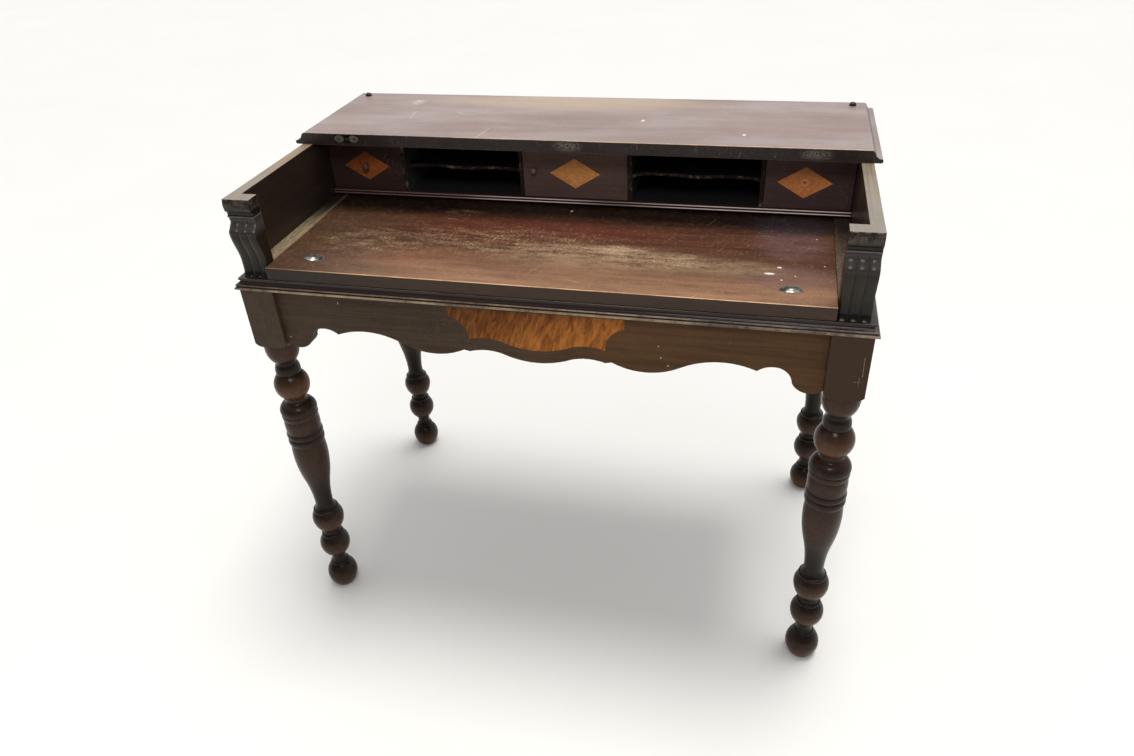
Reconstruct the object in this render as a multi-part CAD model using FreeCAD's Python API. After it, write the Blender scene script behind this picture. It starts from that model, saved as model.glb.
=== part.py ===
import FreeCAD, Part
import math
import os

from FreeCAD import Vector

# A spinet writing desk: turned legs carry a low case with a writing slide between two arms, and a
# gallery of drawers, pigeonholes and a small door under a fixed top board.
# X runs across the front, Y to the back and Z up. The origin is on the floor, under the middle.
# All sizes are in millimetres. A value whose name ends in share or shares is a proportion.

# Case, measured over its arms and from the middle to the base panel's front edge
case_width = 961.0
case_front_reach = 254.0
case_back_ledge = 9.8

# Legs, inset from the case's sides and front to their middle
leg_inset_x = 20.5
leg_inset_y = 17.2
turned_height = 582.0
turning_radius = 33.0
block_side = 58.0
block_height = 108.0
block_round = 2.0
pommel_height = 11.0

# The leg's turning from the floor up: a corner, or a turn where the outline runs straight up,
# then its share of the turning radius and its share of the turned height.
turning_shares = [
    ("corner", 0.590, 0.000),
    ("turn", 0.891, 0.046),
    ("corner", 0.520, 0.091),
    ("turn", 0.552, 0.097),
    ("corner", 0.470, 0.103),
    ("turn", 0.409, 0.117),
    ("corner", 0.455, 0.137),
    ("turn", 0.876, 0.186),
    ("corner", 0.606, 0.224),
    ("turn", 0.636, 0.230),
    ("corner", 0.548, 0.236),
    ("turn", 0.500, 0.246),
    ("corner", 0.591, 0.256),
    ("turn", 0.909, 0.306),
    ("corner", 0.697, 0.336),
    ("turn", 0.727, 0.342),
    ("corner", 0.636, 0.348),
    ("turn", 0.503, 0.372),
    ("turn", 0.955, 0.586),
    ("corner", 0.900, 0.628),
    ("turn", 0.985, 0.641),
    ("corner", 0.918, 0.654),
    ("turn", 0.985, 0.665),
    ("corner", 0.925, 0.677),
    ("turn", 0.955, 0.701),
    ("corner", 0.918, 0.726),
    ("turn", 0.970, 0.736),
    ("corner", 0.930, 0.745),
    ("turn", 0.990, 0.754),
    ("corner", 0.640, 0.783),
    ("turn", 0.545, 0.793),
    ("corner", 0.560, 0.801),
    ("turn", 0.930, 0.846),
    ("corner", 0.600, 0.886),
    ("turn", 0.660, 0.896),
    ("corner", 0.560, 0.921),
    ("turn", 0.545, 0.926),
    ("corner", 0.580, 0.932),
    ("turn", 0.875, 0.978),
    ("corner", 0.870, 1.000),
]

# Aprons
apron_thickness = 20.0
apron_setback = 10.8
front_apron_height = 108.0
plain_apron_height = 80.0

# The front apron's lower edge from the leg to the middle: share of the half span, share of the
# height below the base. Two numbers are a straight run, four are an arc's middle and end.
apron_edge_start_shares = (1.000, 0.935)
apron_edge_shares = [
    (0.947, 1.000, 0.896, 0.852),
    (0.877, 0.690, 0.835, 0.625),
    (0.803, 0.646, 0.778, 0.709),
    (0.673, 0.620, 0.522, 0.759),
    (0.390, 0.894, 0.276, 0.778),
    (0.253, 0.798),
    (0.195, 0.755, 0.128, 0.792),
]
apron_middle_share = 0.898

# Veneer inlays
veneer_thickness = 1.5
diamond_width = 88.5
diamond_height = 53.0
left_diamond_shift = 2.0
right_diamond_shift = -7.0
apron_inlay_half_share = 0.3225
apron_inlay_top_margin = 8.0
apron_inlay_rise = 22.0
apron_inlay_side_height = 17.0
apron_inlay_waist_shares = (0.155, 0.32)

# Dowels and glue blocks under the base
dowel_radius = 5.0
dowel_length = 50.0
dowel_height_shares = (0.30, 0.72)
glue_block_width = 30.0
glue_block_height = 28.0
glue_block_length = 90.0
glue_block_place_shares = (0.58, 0.48)

# Base
base_thickness = 19.0
base_mould_width = 14.5

# The base's edge from its underside up: shares of the moulding's width and of the base's thickness.
base_edge_start_shares = (0.86, 0.00)
base_edge_shares = [
    (1.00, 0.14, 0.86, 0.28),
    (0.79, 0.28),
    (0.79, 0.33),
    (0.88, 0.42, 0.77, 0.51),
    (0.69, 0.51),
    (0.48, 0.62, 0.43, 0.83),
    (0.54, 0.83),
    (0.54, 1.00),
]

# Arms and brackets
arm_thickness = 19.0
arm_height = 132.0
bracket_width = 45.0
bracket_depth = 32.0
bracket_overhang = 10.0
flute_radius = 4.0
flute_lift = 1.2
flute_place_shares = (0.33, 0.67)

# The bracket's face from the base up, as shares of its depth and of the arm's height.
corbel_shares = [
    ("corner", 0.800, 0.000),
    ("turn", 0.640, 0.090),
    ("turn", 0.640, 0.190),
    ("turn", 1.000, 0.590),
    ("turn", 0.640, 0.725),
    ("corner", 0.640, 0.760),
]
cap_shares = [
    (0.640, 0.766),
    (0.705, 0.778, 0.640, 0.790),
    (0.655, 0.825, 0.775, 0.850),
    (0.852, 0.922, 0.812, 0.988),
    (0.770, 1.000),
]

# Writing slide, its tongues and guides
slide_thickness = 20.7
slide_overhang = 6.5
slide_run_clearance = 0.3
slide_side_clearance = 0.5
slide_back_gap = 4.0
tongue_length = 295.5
tongue_thickness = 8.0
tongue_projection = 8.0
tongue_bed_depth = 8.0
tongue_clearance = 0.4

# Half-moon pulls
pull_side_inset = 63.0
pull_front_inset = 40.0
pull_radius = 15.8
pull_front_sagitta = 4.5
pull_depth = 8.5
pull_wall = 1.0
pull_rim_width = 1.2
pull_rim_height = 0.6
pull_pocket_clearance = 0.3

# The cup's sections from its rim down: shares of its outline and of its depth.
pull_bowl_shares = [(1.00, 0.00), (0.95, 0.35), (0.80, 0.70), (0.55, 0.92), (0.30, 1.00)]

# Gallery
gallery_depth = 200.5
gallery_gap = 3.0
gallery_bottom_thickness = 10.0
gallery_top_thickness = 8.0
gallery_lip = 2.5
gallery_bead_depth = 2.5
gallery_housing = 6.0
partition_thickness = 6.5
door_opening_share = 0.202
pigeonhole_share = 0.2308
case_back_thickness = 8.0

# Pigeonhole shelves, with the front edge as shares of the half width and of the scallop's depth.
shelf_thickness = 5.0
shelf_height = 41.0
shelf_setback = 4.0
shelf_scallop = 14.0
shelf_housing = 2.0
shelf_edge_start_shares = (0.97, 0.00)
shelf_edge_shares = [
    (0.94, 0.42, 0.86, 0.72),
    (0.58, 1.00, 0.30, 0.82),
]
shelf_middle_share = 0.45

# Drawers
drawer_side_clearance = 0.8
drawer_run_clearance = 0.3
drawer_top_clearance = 0.8
drawer_front_thickness = 12.0
drawer_lining_thickness = 7.0
drawer_bottom_thickness = 4.0
drawer_lining_drop = 8.0
drawer_back_gap = 10.0
knob_radius = 6.5
knob_reach = 13.0
knob_stem_radius = 2.6
knob_stem_length = 10.0
knob_screw_radius = 1.5

# Centre door
door_thickness = 10.0
door_clearance = 0.8
door_knob_radius = 5.5
door_knob_reach = 11.0
door_knob_stem_radius = 2.0
door_knob_stem_length = 7.0
door_knob_inset = 20.0
door_knob_rise = 4.0
pivot_radius = 1.5
pivot_length = 12.0
pivot_share_in_door = 0.5
pivot_fit = 0.05

# A knob's outline from its stem out: shares of its radius and of its reach.
knob_shares = [
    ("corner", 0.62, 0.00),
    ("corner", 0.62, 0.10),
    ("turn", 0.50, 0.25),
    ("corner", 0.60, 0.38),
    ("turn", 1.00, 0.66),
    ("corner", 0.86, 0.84),
    ("crown", 0.00, 1.00),
]

# Top board
top_thickness = 20.0
top_depth = 268.0
top_end_overhang = 12.5
top_back_overhang = 12.5
top_mould_width = 19.0

# The top's edge from its underside up: shares of the moulding's width and of the top's thickness.
top_edge_start_shares = (0.84, 0.00)
top_edge_shares = [
    (1.00, 0.165, 0.84, 0.33),
    (0.66, 0.33),
    (0.66, 0.38),
    (0.49, 0.47, 0.37, 0.64),
    (0.22, 0.88, 0.00, 1.00),
]

# Hinge leaf and the two empty mortises on the top's front edge
hinge_place_share = 0.8
hinge_width = 45.0
hinge_height = 13.0
hinge_thickness = 1.5
hinge_drop = 2.5
hinge_screw_head_radius = 2.8
hinge_screw_radius = 1.4
hinge_screw_length = 14.0
hinge_screw_head_height = 1.5
hinge_screw_shares = (-0.34, 0.0, 0.34)

# Bumper buttons on the top
bumper_radius = 6.0
bumper_height = 6.0
bumper_dome_share = 0.6
bumper_stem_radius = 2.4
bumper_stem_length = 8.0
bumper_end_inset = 38.0
bumper_back_inset = 36.5

# Wood screws
screw_head_radius = 4.0
screw_head_height = 2.6
screw_radius = 2.0
screw_point_length = 4.0
screw_bite = 13.0
screw_slot_share = 0.2
top_screw_row_shares = (0.21, 0.81)

# Arris rounding of plain boards, and how far a cut runs past what it cuts
edge_round = 0.8
cut_overrun = 5.0

# Places that follow from the sizes
case_half = case_width / 2
leg_x = case_half - leg_inset_x
leg_y = case_front_reach - leg_inset_y
block_half = block_side / 2
base_bottom = turned_height + block_height
base_top = base_bottom + base_thickness
base_back = leg_y + block_half
case_back_reach = base_back - case_back_ledge
apron_face_x = leg_x + block_half - apron_setback
apron_face_y = leg_y + block_half - apron_setback
apron_half_span_x = leg_x - block_half
apron_half_span_y = leg_y - block_half
apron_inlay_half_width = apron_inlay_half_share * apron_half_span_x
arm_inner = case_half - arm_thickness
arm_top = base_top + arm_height
bracket_inner = case_half - bracket_width
bracket_back = bracket_depth - case_front_reach - bracket_overhang
slide_bottom = base_top + slide_run_clearance
slide_top = slide_bottom + slide_thickness
slide_half = bracket_inner - slide_side_clearance
slide_front = -case_front_reach - slide_overhang
case_back_face = case_back_reach - case_back_thickness
slide_back = case_back_face - slide_back_gap
tongue_middle = slide_bottom + slide_thickness / 2
pull_x = slide_half - pull_side_inset
gallery_front = case_back_face - gallery_depth
gallery_floor = slide_top + gallery_gap + gallery_bottom_thickness
gallery_ceiling = arm_top - gallery_top_thickness
compartment_middle = (gallery_floor + gallery_ceiling) / 2
door_half_opening = door_opening_share * arm_inner
pigeonhole_width = pigeonhole_share * 2 * arm_inner
pigeonhole_start = door_half_opening + partition_thickness
pigeonhole_end = pigeonhole_start + pigeonhole_width
pigeonhole_middle = (pigeonhole_start + pigeonhole_end) / 2
drawer_start = pigeonhole_end + partition_thickness
drawer_middle = (drawer_start + arm_inner) / 2
drawer_bottom = gallery_floor + drawer_run_clearance
drawer_back = case_back_face - drawer_back_gap
door_half = door_half_opening - door_clearance
door_pivot_x = door_half - door_thickness / 2
door_pivot_y = gallery_front + door_thickness / 2
top_back = case_back_reach + top_back_overhang
top_front = top_back - top_depth
top_half = case_half + top_end_overhang
top_face = arm_top + top_thickness
hinge_middle_z = top_face - hinge_drop - hinge_height / 2
hinge_places = (-hinge_place_share * top_half, 0.0, hinge_place_share * top_half)
bumper_x = top_half - bumper_end_inset
bumper_y = top_back - bumper_back_inset

X = Vector(1, 0, 0)
Y = Vector(0, 1, 0)
Z = Vector(0, 0, 1)
ORIGIN = Vector(0, 0, 0)


# General shapes

def line(a, b):
    return Part.LineSegment(a, b).toShape()


def trace(place, start, steps):
    """Edges from start through each step: a straight run to two numbers, or an arc through four."""
    edges = []
    here = place(*start)
    for step in steps:
        there = place(*step[-2:])
        if len(step) == 4:
            edges.append(Part.Arc(here, place(*step[:2]), there).toShape())
        else:
            edges.append(line(here, there))
        here = there
    return edges


def tangent_middle(turn, other):
    """Middle of the arc between a turn, where it runs straight up, and another point."""
    out = other[0] - turn[0]
    up = other[1] - turn[1]
    radius = (out ** 2 + up ** 2) / (2 * abs(out))
    half_angle = math.atan2(abs(up), radius - abs(out)) / 2
    return (
        turn[0] + math.copysign(radius * (1 - math.cos(half_angle)), out),
        turn[1] + math.copysign(radius * math.sin(half_angle), up),
    )


def flow(place, steps):
    """Edges through corners, turns and crowns: straight between corners, arcs elsewhere, which run
    straight up at a turn and level at a crown."""
    edges = []
    for (kind_a, *a), (kind_b, *b) in zip(steps, steps[1:]):
        runs = []
        if kind_a == kind_b == "corner" or a[0] == b[0]:
            edges.append(line(place(*a), place(*b)))
        elif kind_b == "crown":
            runs = [(a, tangent_middle(b[::-1], a[::-1])[::-1], b)]
        elif kind_a == kind_b:
            middle = ((a[0] + b[0]) / 2, (a[1] + b[1]) / 2)
            runs = [(a, tangent_middle(a, middle), middle), (middle, tangent_middle(b, middle), b)]
        elif kind_a == "turn":
            runs = [(a, tangent_middle(a, b), b)]
        else:
            runs = [(a, tangent_middle(b, a), b)]
        for first, middle, last in runs:
            edges.append(Part.Arc(place(*first), place(*middle), place(*last)).toShape())
    return edges


def scaled_steps(shares, width, height):
    return [(kind, out * width, up * height) for kind, out, up in shares]


def joined_face(edges):
    """Face inside edges that meet end to end, in any order."""
    return Part.Face(Part.Wire(Part.__sortEdges__(edges)))


def outline(points):
    return Part.Face(Part.makePolygon(list(points) + [points[0]]))


def box(x0, x1, y0, y1, z0, z1):
    return Part.makeBox(x1 - x0, y1 - y0, z1 - z0, Vector(x0, y0, z0))


def board(x0, x1, y0, y1, z0, z1):
    """Plain board with every arris eased."""
    plain = box(x0, x1, y0, y1, z0, z1)
    return plain.makeFillet(edge_round, plain.Edges)


def upright(edge):
    size = edge.BoundBox
    return size.ZLength > size.XLength + size.YLength


def mirrored(shape):
    return shape.mirror(ORIGIN, X)


def group(shapes):
    return Part.makeCompound(shapes)


def cut_all(shape, tools):
    return shape.cut(group(tools))


def turned(steps):
    """Solid of revolution about Z from a flow of (kind, radius, height)."""
    def place(out, up):
        return Vector(out, 0, up)

    _, first_radius, low = steps[0]
    _, last_radius, high = steps[-1]
    edges = [line(place(0, low), place(first_radius, low))] + flow(place, steps)
    if last_radius > 0:
        edges.append(line(place(last_radius, high), place(0, high)))
    edges.append(line(place(0, high), place(0, low)))
    return joined_face(edges).revolve(ORIGIN, Z, 360)


def stood(shape, spot, direction):
    """Shape made along Z, turned to point along direction and moved to spot."""
    moved = shape.copy()
    moved.Placement = FreeCAD.Placement(spot, FreeCAD.Rotation(Z, direction))
    return moved


def wood_screws(spots, direction, head_radius, head_height, radius, length):
    """Slotted countersunk screws with their heads at the spots, and the holes that they fill."""
    hole = turned([
        ("corner", head_radius, 0.0),
        ("corner", radius, head_height),
        ("corner", radius, length - screw_point_length),
        ("corner", 0.0, length),
    ])
    half_slot = screw_slot_share * head_radius
    slot = box(-half_slot, half_slot, -head_radius, head_radius, -head_height, head_height / 2)
    screw = hole.cut(slot)
    screws = [stood(screw, spot, direction) for spot in spots]
    holes = [stood(hole, spot, direction) for spot in spots]
    return screws, holes


def knob(radius, reach, stem_radius, stem_length):
    """Turned knob that points along Z, with its stem behind the origin."""
    head = turned(scaled_steps(knob_shares, radius, reach))
    stem = Part.makeCylinder(stem_radius, stem_length, Vector(0, 0, -stem_length))
    return head.fuse(stem).removeSplitter()


# Legs, aprons and what joins them

def leg():
    """One leg, centred on the origin: turned below, square above with pommelled corners."""
    turning = turned(scaled_steps(turning_shares, turning_radius, turned_height))
    block = box(-block_half, block_half, -block_half, block_half, turned_height, base_bottom)
    block = block.makeFillet(block_round, [edge for edge in block.Edges if upright(edge)])
    corner_radius = block_half * math.sqrt(2)
    shoulder_rise = pommel_height * (1 - math.sqrt(0.5))
    shoulder_reach = block_half + (corner_radius - block_half) * math.sqrt(0.5)

    def place(out, up):
        return Vector(out, 0, turned_height + up)

    pommel = joined_face(trace(place, (0, 0), [
        (block_half, 0),
        (shoulder_reach, shoulder_rise, corner_radius, pommel_height),
        (corner_radius, block_height),
        (0, block_height),
        (0, 0),
    ])).revolve(ORIGIN, Z, 360)
    return turning.fuse(block.common(pommel)).removeSplitter()


def dowel_row(height, spots, direction):
    """Dowels at each spot (x, y), along direction, two for each joint of an apron of this height."""
    return [
        stood(
            Part.makeCylinder(dowel_radius, dowel_length, Vector(0, 0, -dowel_length / 2)),
            Vector(x, y, base_bottom - share * height),
            direction,
        )
        for x, y in spots
        for share in dowel_height_shares
    ]


def dowels():
    across = apron_half_span_x
    along = apron_half_span_y
    middle_x = apron_face_x - apron_thickness / 2
    middle_y = apron_face_y - apron_thickness / 2
    front = dowel_row(front_apron_height, [(-across, -middle_y), (across, -middle_y)], X)
    back = dowel_row(plain_apron_height, [(-across, middle_y), (across, middle_y)], X)
    left = dowel_row(plain_apron_height, [(-middle_x, -along), (-middle_x, along)], Y)
    right = dowel_row(plain_apron_height, [(middle_x, -along), (middle_x, along)], Y)
    return front + back + left + right


def apron_place(side, rise=0.0):
    """Point on the front apron's face: side is 1 right or -1 left of the middle."""
    def place(across, down):
        z = base_bottom - down * front_apron_height + rise
        return Vector(side * across * apron_half_span_x, -apron_face_y, z)
    return place


def middle_arc(rise):
    """The lower edge's bow across the middle, from the right half's end to the left half's."""
    end = apron_edge_shares[-1][-2:]
    middle = apron_place(1, rise)(0, apron_middle_share)
    return Part.Arc(apron_place(1, rise)(*end), middle, apron_place(-1, rise)(*end)).toShape()


def front_apron_outline():
    right = trace(apron_place(1), apron_edge_start_shares, apron_edge_shares)
    left = trace(apron_place(-1), apron_edge_start_shares, apron_edge_shares)
    corners = [
        apron_place(-1)(*apron_edge_start_shares),
        apron_place(-1)(1, 0),
        apron_place(1)(1, 0),
        apron_place(1)(*apron_edge_start_shares),
    ]
    ends = [line(a, b) for a, b in zip(corners, corners[1:])]
    return joined_face(right + [middle_arc(0.0)] + left + ends)


def apron_inlay_outline():
    """Veneer panel whose lower edge follows the apron's, with hollow shoulders at its sides."""
    lower = apron_edge_shares[-1:]
    lower_start = apron_edge_shares[-2]
    top = base_bottom - apron_inlay_top_margin
    shoulder = top - apron_inlay_side_height
    edges = [middle_arc(apron_inlay_rise)]
    tops = []
    for side in (1, -1):
        foot = apron_place(side, apron_inlay_rise)(*lower_start)
        depth = shoulder - foot.z

        def place(inward, down):
            x = side * apron_inlay_half_width * (1 - inward)
            return Vector(x, -apron_face_y, shoulder - down * depth)

        corner = Vector(side * apron_inlay_half_width, -apron_face_y, top)
        edges += trace(apron_place(side, apron_inlay_rise), lower_start, lower)
        edges.append(Part.Arc(place(0, 0), place(*apron_inlay_waist_shares), foot).toShape())
        edges.append(line(place(0, 0), corner))
        tops.append(corner)
    edges.append(line(*tops))
    return joined_face(edges)


def front_apron_and_inlay(holes):
    veneer = apron_inlay_outline().extrude(Y * veneer_thickness)
    apron = front_apron_outline().extrude(Y * apron_thickness)
    return cut_all(apron, holes + [veneer]), veneer


def plain_aprons(holes):
    low = base_bottom - plain_apron_height
    inner_x = apron_face_x - apron_thickness
    inner_y = apron_face_y - apron_thickness
    across = apron_half_span_x
    along = apron_half_span_y
    return {
        "apron_back": cut_all(board(-across, across, inner_y, apron_face_y, low, base_bottom), holes),
        "apron_left": cut_all(board(-apron_face_x, -inner_x, -along, along, low, base_bottom), holes),
        "apron_right": cut_all(board(inner_x, apron_face_x, -along, along, low, base_bottom), holes),
    }


def glue_blocks():
    """Blocks in the angle between aprons and base, with a screw each that goes up into the base."""
    half = glue_block_length / 2
    low = base_bottom - glue_block_height
    near_x = apron_face_x - apron_thickness
    near_y = apron_face_y - apron_thickness
    far_x = near_x - glue_block_width
    far_y = near_y - glue_block_width
    blocks = []
    spots = []
    share_x, share_y = glue_block_place_shares
    for side in (-1, 1):
        x = side * share_x * apron_half_span_x
        y = side * share_y * apron_half_span_y
        blocks.append(box(x - half, x + half, -near_y, -far_y, low, base_bottom))
        blocks.append(box(x - half, x + half, far_y, near_y, low, base_bottom))
        blocks.append(box(-near_x, -far_x, y - half, y + half, low, base_bottom))
        blocks.append(box(far_x, near_x, y - half, y + half, low, base_bottom))
    for block in blocks:
        middle = block.BoundBox.Center
        spots.append(Vector(middle.x, middle.y, low))
    length = glue_block_height + screw_bite
    screws, holes = wood_screws(spots, Z, screw_head_radius, screw_head_height, screw_radius, length)
    return [cut_all(block, holes) for block in blocks], screws, holes


# Base

def moulded_ends(half, depth_from, depth_to, low, width, height, start, steps):
    """Board along Y whose two X ends carry the same moulded edge."""
    def right(out, up):
        return Vector(half + (out - 1) * width, depth_from, low + up * height)

    def left(out, up):
        return Vector(-half - (out - 1) * width, depth_from, low + up * height)

    right_edges = trace(right, start, steps)
    left_edges = trace(left, start, steps)
    across_top = line(right(*steps[-1][-2:]), left(*steps[-1][-2:]))
    across_bottom = line(right(*start), left(*start))
    face = joined_face(right_edges + left_edges + [across_top, across_bottom])
    return face.extrude(Y * (depth_to - depth_from))


def moulded_side(half, front, back, faces, low, width, height, start, steps):
    """Board along X with one moulded edge, at the front (faces -1) or at the back (faces 1), and an
    eased square edge opposite."""
    tip = front if faces < 0 else back
    square = back if faces < 0 else front

    def place(out, up):
        return Vector(-half, tip + faces * (out - 1) * width, low + up * height)

    def plain(inward, up):
        return Vector(-half, square + faces * inward, low + up)

    eased = edge_round * (1 - math.sqrt(0.5))
    mould = trace(place, start, steps)
    rest = trace(plain, (0, 0), [
        (0, height - edge_round),
        (eased, height - eased, edge_round, height),
    ])
    across_top = line(place(*steps[-1][-2:]), plain(edge_round, height))
    across_bottom = line(place(*start), plain(0, 0))
    return joined_face(mould + rest + [across_top, across_bottom]).extrude(X * 2 * half)


def base_pieces(screw_holes):
    """The base's panel and its three mitred mouldings, cut from one moulded board."""
    half = case_half + base_mould_width
    front = -case_front_reach - base_mould_width
    shape = (base_bottom, base_mould_width, base_thickness, base_edge_start_shares, base_edge_shares)
    whole = moulded_ends(half, front, base_back, *shape)
    whole = whole.common(moulded_side(half, front, base_back, -1, *shape))
    reach = half + cut_overrun
    nose = front - cut_overrun
    mitre_gain = base_mould_width + cut_overrun

    def region(points):
        corners = [Vector(x, y, base_bottom - cut_overrun) for x, y in points]
        return outline(corners).extrude(Z * (base_thickness + 2 * cut_overrun))

    inner_left = (-case_half, -case_front_reach)
    inner_right = (case_half, -case_front_reach)
    far = base_back + cut_overrun
    outer_left = (-case_half - mitre_gain, -case_front_reach - mitre_gain)
    outer_right = (case_half + mitre_gain, -case_front_reach - mitre_gain)
    panel = region([inner_left, inner_right, (case_half, far), (-case_half, far)])
    front_part = region([inner_left, inner_right, outer_right, outer_left])
    right_part = region([inner_right, (case_half, far), (reach, far), (reach, nose), outer_right])
    return {
        "base_panel": cut_all(whole.common(panel), screw_holes),
        "base_moulding_front": whole.common(front_part),
        "base_moulding_right": whole.common(right_part),
        "base_moulding_left": mirrored(whole.common(right_part)),
    }


# Arms, brackets and back

def arm():
    """Right arm, housed for the gallery's bottom."""
    plain = board(arm_inner, case_half, bracket_back, case_back_reach, base_top, arm_top)
    housing = box(
        arm_inner - cut_overrun, arm_inner + gallery_housing,
        gallery_front - gallery_lip, case_back_face,
        gallery_floor - gallery_bottom_thickness, gallery_floor,
    )
    return plain.cut(housing)


def bracket():
    """Right bracket: a moulded cap over a fluted S-shaped corbel."""
    steps = scaled_steps(corbel_shares, bracket_depth, arm_height)

    def shape_place(out, up):
        return Vector(bracket_inner, bracket_back - out, base_top + up)

    def cap_place(out, up):
        return shape_place(out * bracket_depth, up * arm_height)

    face_edges = flow(shape_place, steps)
    cap_edges = trace(cap_place, corbel_shares[-1][1:], cap_shares)
    ends = [
        line(shape_place(0, 0), shape_place(*steps[0][1:])),
        line(shape_place(0, 0), shape_place(0, arm_height)),
        line(shape_place(0, arm_height), cap_place(*cap_shares[-1])),
    ]
    body = joined_face(ends + face_edges + cap_edges).extrude(X * bracket_width)
    flutes = []
    for share in flute_place_shares:
        def lifted(out, up):
            return shape_place(out + flute_lift, up) + X * (share * bracket_width)

        path = Part.Wire(flow(lifted, steps))
        start = path.Edges[0].valueAt(path.Edges[0].FirstParameter)
        heading = path.Edges[0].tangentAt(path.Edges[0].FirstParameter)
        section = Part.Face(Part.Wire(Part.makeCircle(flute_radius, start, heading)))
        flutes.append(path.makePipe(section))
    return cut_all(body, flutes)


# Writing slide

def guide():
    """Right guide: fills the space between slide and arm, and is grooved for the slide's tongue."""
    top = base_top + slide_run_clearance + slide_thickness
    plain = board(bracket_inner, arm_inner, bracket_back, case_back_face, base_top, top)
    half_groove = tongue_thickness / 2 + tongue_clearance
    depth = slide_half + tongue_projection + tongue_clearance
    groove = box(
        bracket_inner - cut_overrun, depth,
        bracket_back - cut_overrun, case_back_face + cut_overrun,
        tongue_middle - half_groove, tongue_middle + half_groove,
    )
    return plain.cut(groove)


def tongue():
    """Right tongue, half in the slide's edge and half in the guide's groove. It meets the back of the
    bracket when the slide is fully out."""
    half = tongue_thickness / 2
    return box(
        slide_half - tongue_bed_depth, slide_half + tongue_projection,
        slide_back - tongue_length, slide_back,
        tongue_middle - half, tongue_middle + half,
    )


def half_moon(radius, sagitta, level):
    """Half-moon outline about the origin: a half circle behind, a shallow bow in front."""
    left = Vector(-radius, 0, level)
    right = Vector(radius, 0, level)
    behind = Part.Arc(left, Vector(0, radius, level), right).toShape()
    front = Part.Arc(right, Vector(0, -sagitta, level), left).toShape()
    return Part.Wire([behind, front])


def half_moon_prism(spare, low, high):
    wire = half_moon(pull_radius + spare, pull_front_sagitta + spare, low)
    return Part.Face(wire).extrude(Z * (high - low))


def half_moon_bowl(spare):
    """Bowl under the outline, made larger all round by spare."""
    sections = [
        half_moon(
            pull_radius * share + spare,
            pull_front_sagitta * share + spare,
            -(pull_depth + spare) * depth_share,
        )
        for share, depth_share in pull_bowl_shares
    ]
    return Part.makeLoft(sections, True)


def pull():
    """Pressed half-moon cup at the origin, its rim lying on the surface at zero."""
    rim = half_moon_prism(pull_wall + pull_rim_width, 0.0, pull_rim_height)
    mouth = half_moon_prism(0.0, -pull_rim_height, pull_rim_height + cut_overrun)
    shell = rim.fuse(half_moon_bowl(pull_wall))
    return shell.cut(half_moon_bowl(0.0)).cut(mouth.common(rim))


def pull_pocket():
    spare = pull_wall + pull_pocket_clearance
    return half_moon_prism(spare, -pull_depth - spare, cut_overrun)


def at_pulls(shape):
    spot_y = slide_front + pull_front_inset
    return [stood(shape, Vector(side * pull_x, spot_y, slide_top), Z) for side in (-1, 1)]


def slide_board(tongues):
    plain = board(-slide_half, slide_half, slide_front, slide_back, slide_bottom, slide_top)
    return cut_all(plain, tongues + at_pulls(pull_pocket()))


# Gallery

def gallery_bottom(pivot_holes):
    """Bottom board with a double bead along its front, housed in the arms."""
    front = gallery_front - gallery_lip
    low = gallery_floor - gallery_bottom_thickness
    end = arm_inner + gallery_housing

    def place(out, up):
        return Vector(-end, front - out * gallery_bead_depth, low + up * gallery_bottom_thickness)

    beads = trace(place, (0, 0), [(1, 0.25, 0, 0.5), (1, 0.75, 0, 1)])
    corners = [
        place(0, 1),
        Vector(-end, case_back_face, gallery_floor),
        Vector(-end, case_back_face, low),
        place(0, 0),
    ]
    ends = [line(a, b) for a, b in zip(corners, corners[1:])]
    whole = joined_face(beads + ends).extrude(X * 2 * end)
    visible_nose = box(-arm_inner, arm_inner, front - cut_overrun, front, low, gallery_floor)
    inside = box(-end, end, front, case_back_face, low, gallery_floor)
    return cut_all(whole.common(visible_nose.fuse(inside)), pivot_holes)


def gallery_top(tools):
    low = gallery_ceiling
    return cut_all(board(-arm_inner, arm_inner, gallery_front, case_back_face, low, arm_top), tools)


def shelf():
    """Right pigeonhole shelf with a scalloped front edge, its ends housed in the partitions."""
    half = pigeonhole_width / 2
    level = gallery_floor + shelf_height
    front = gallery_front + shelf_setback
    end = half + shelf_housing

    def place_on(side):
        def place(across, back):
            return Vector(pigeonhole_middle + side * across * half, front + back * shelf_scallop, level)
        return place

    edges = []
    for side in (1, -1):
        place = place_on(side)
        edges += trace(place, shelf_edge_start_shares, shelf_edge_shares)
        corner = Vector(pigeonhole_middle + side * end, front, level)
        rear = Vector(pigeonhole_middle + side * end, case_back_face, level)
        edges.append(line(place(*shelf_edge_start_shares), corner))
        edges.append(line(corner, rear))
    last = shelf_edge_shares[-1][-2:]
    middle = place_on(1)(0, shelf_middle_share)
    edges.append(Part.Arc(place_on(1)(*last), middle, place_on(-1)(*last)).toShape())
    rears = [Vector(pigeonhole_middle + side * end, case_back_face, level) for side in (1, -1)]
    edges.append(line(*rears))
    return joined_face(edges).extrude(Z * shelf_thickness)


def partition(inner, shelves):
    """Partition whose face nearer the middle is at inner, cut for the ends of the shelves."""
    plain = board(
        inner, inner + partition_thickness,
        gallery_front, case_back_face,
        gallery_floor, gallery_ceiling,
    )
    return cut_all(plain, shelves)


# Drawers and door

def diamond(x, z):
    """Diamond veneer set flush into a front."""
    half_width = diamond_width / 2
    half_height = diamond_height / 2
    points = [
        Vector(x - half_width, gallery_front, z),
        Vector(x, gallery_front, z + half_height),
        Vector(x + half_width, gallery_front, z),
        Vector(x, gallery_front, z - half_height),
    ]
    return outline(points).extrude(Y * veneer_thickness)


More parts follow.
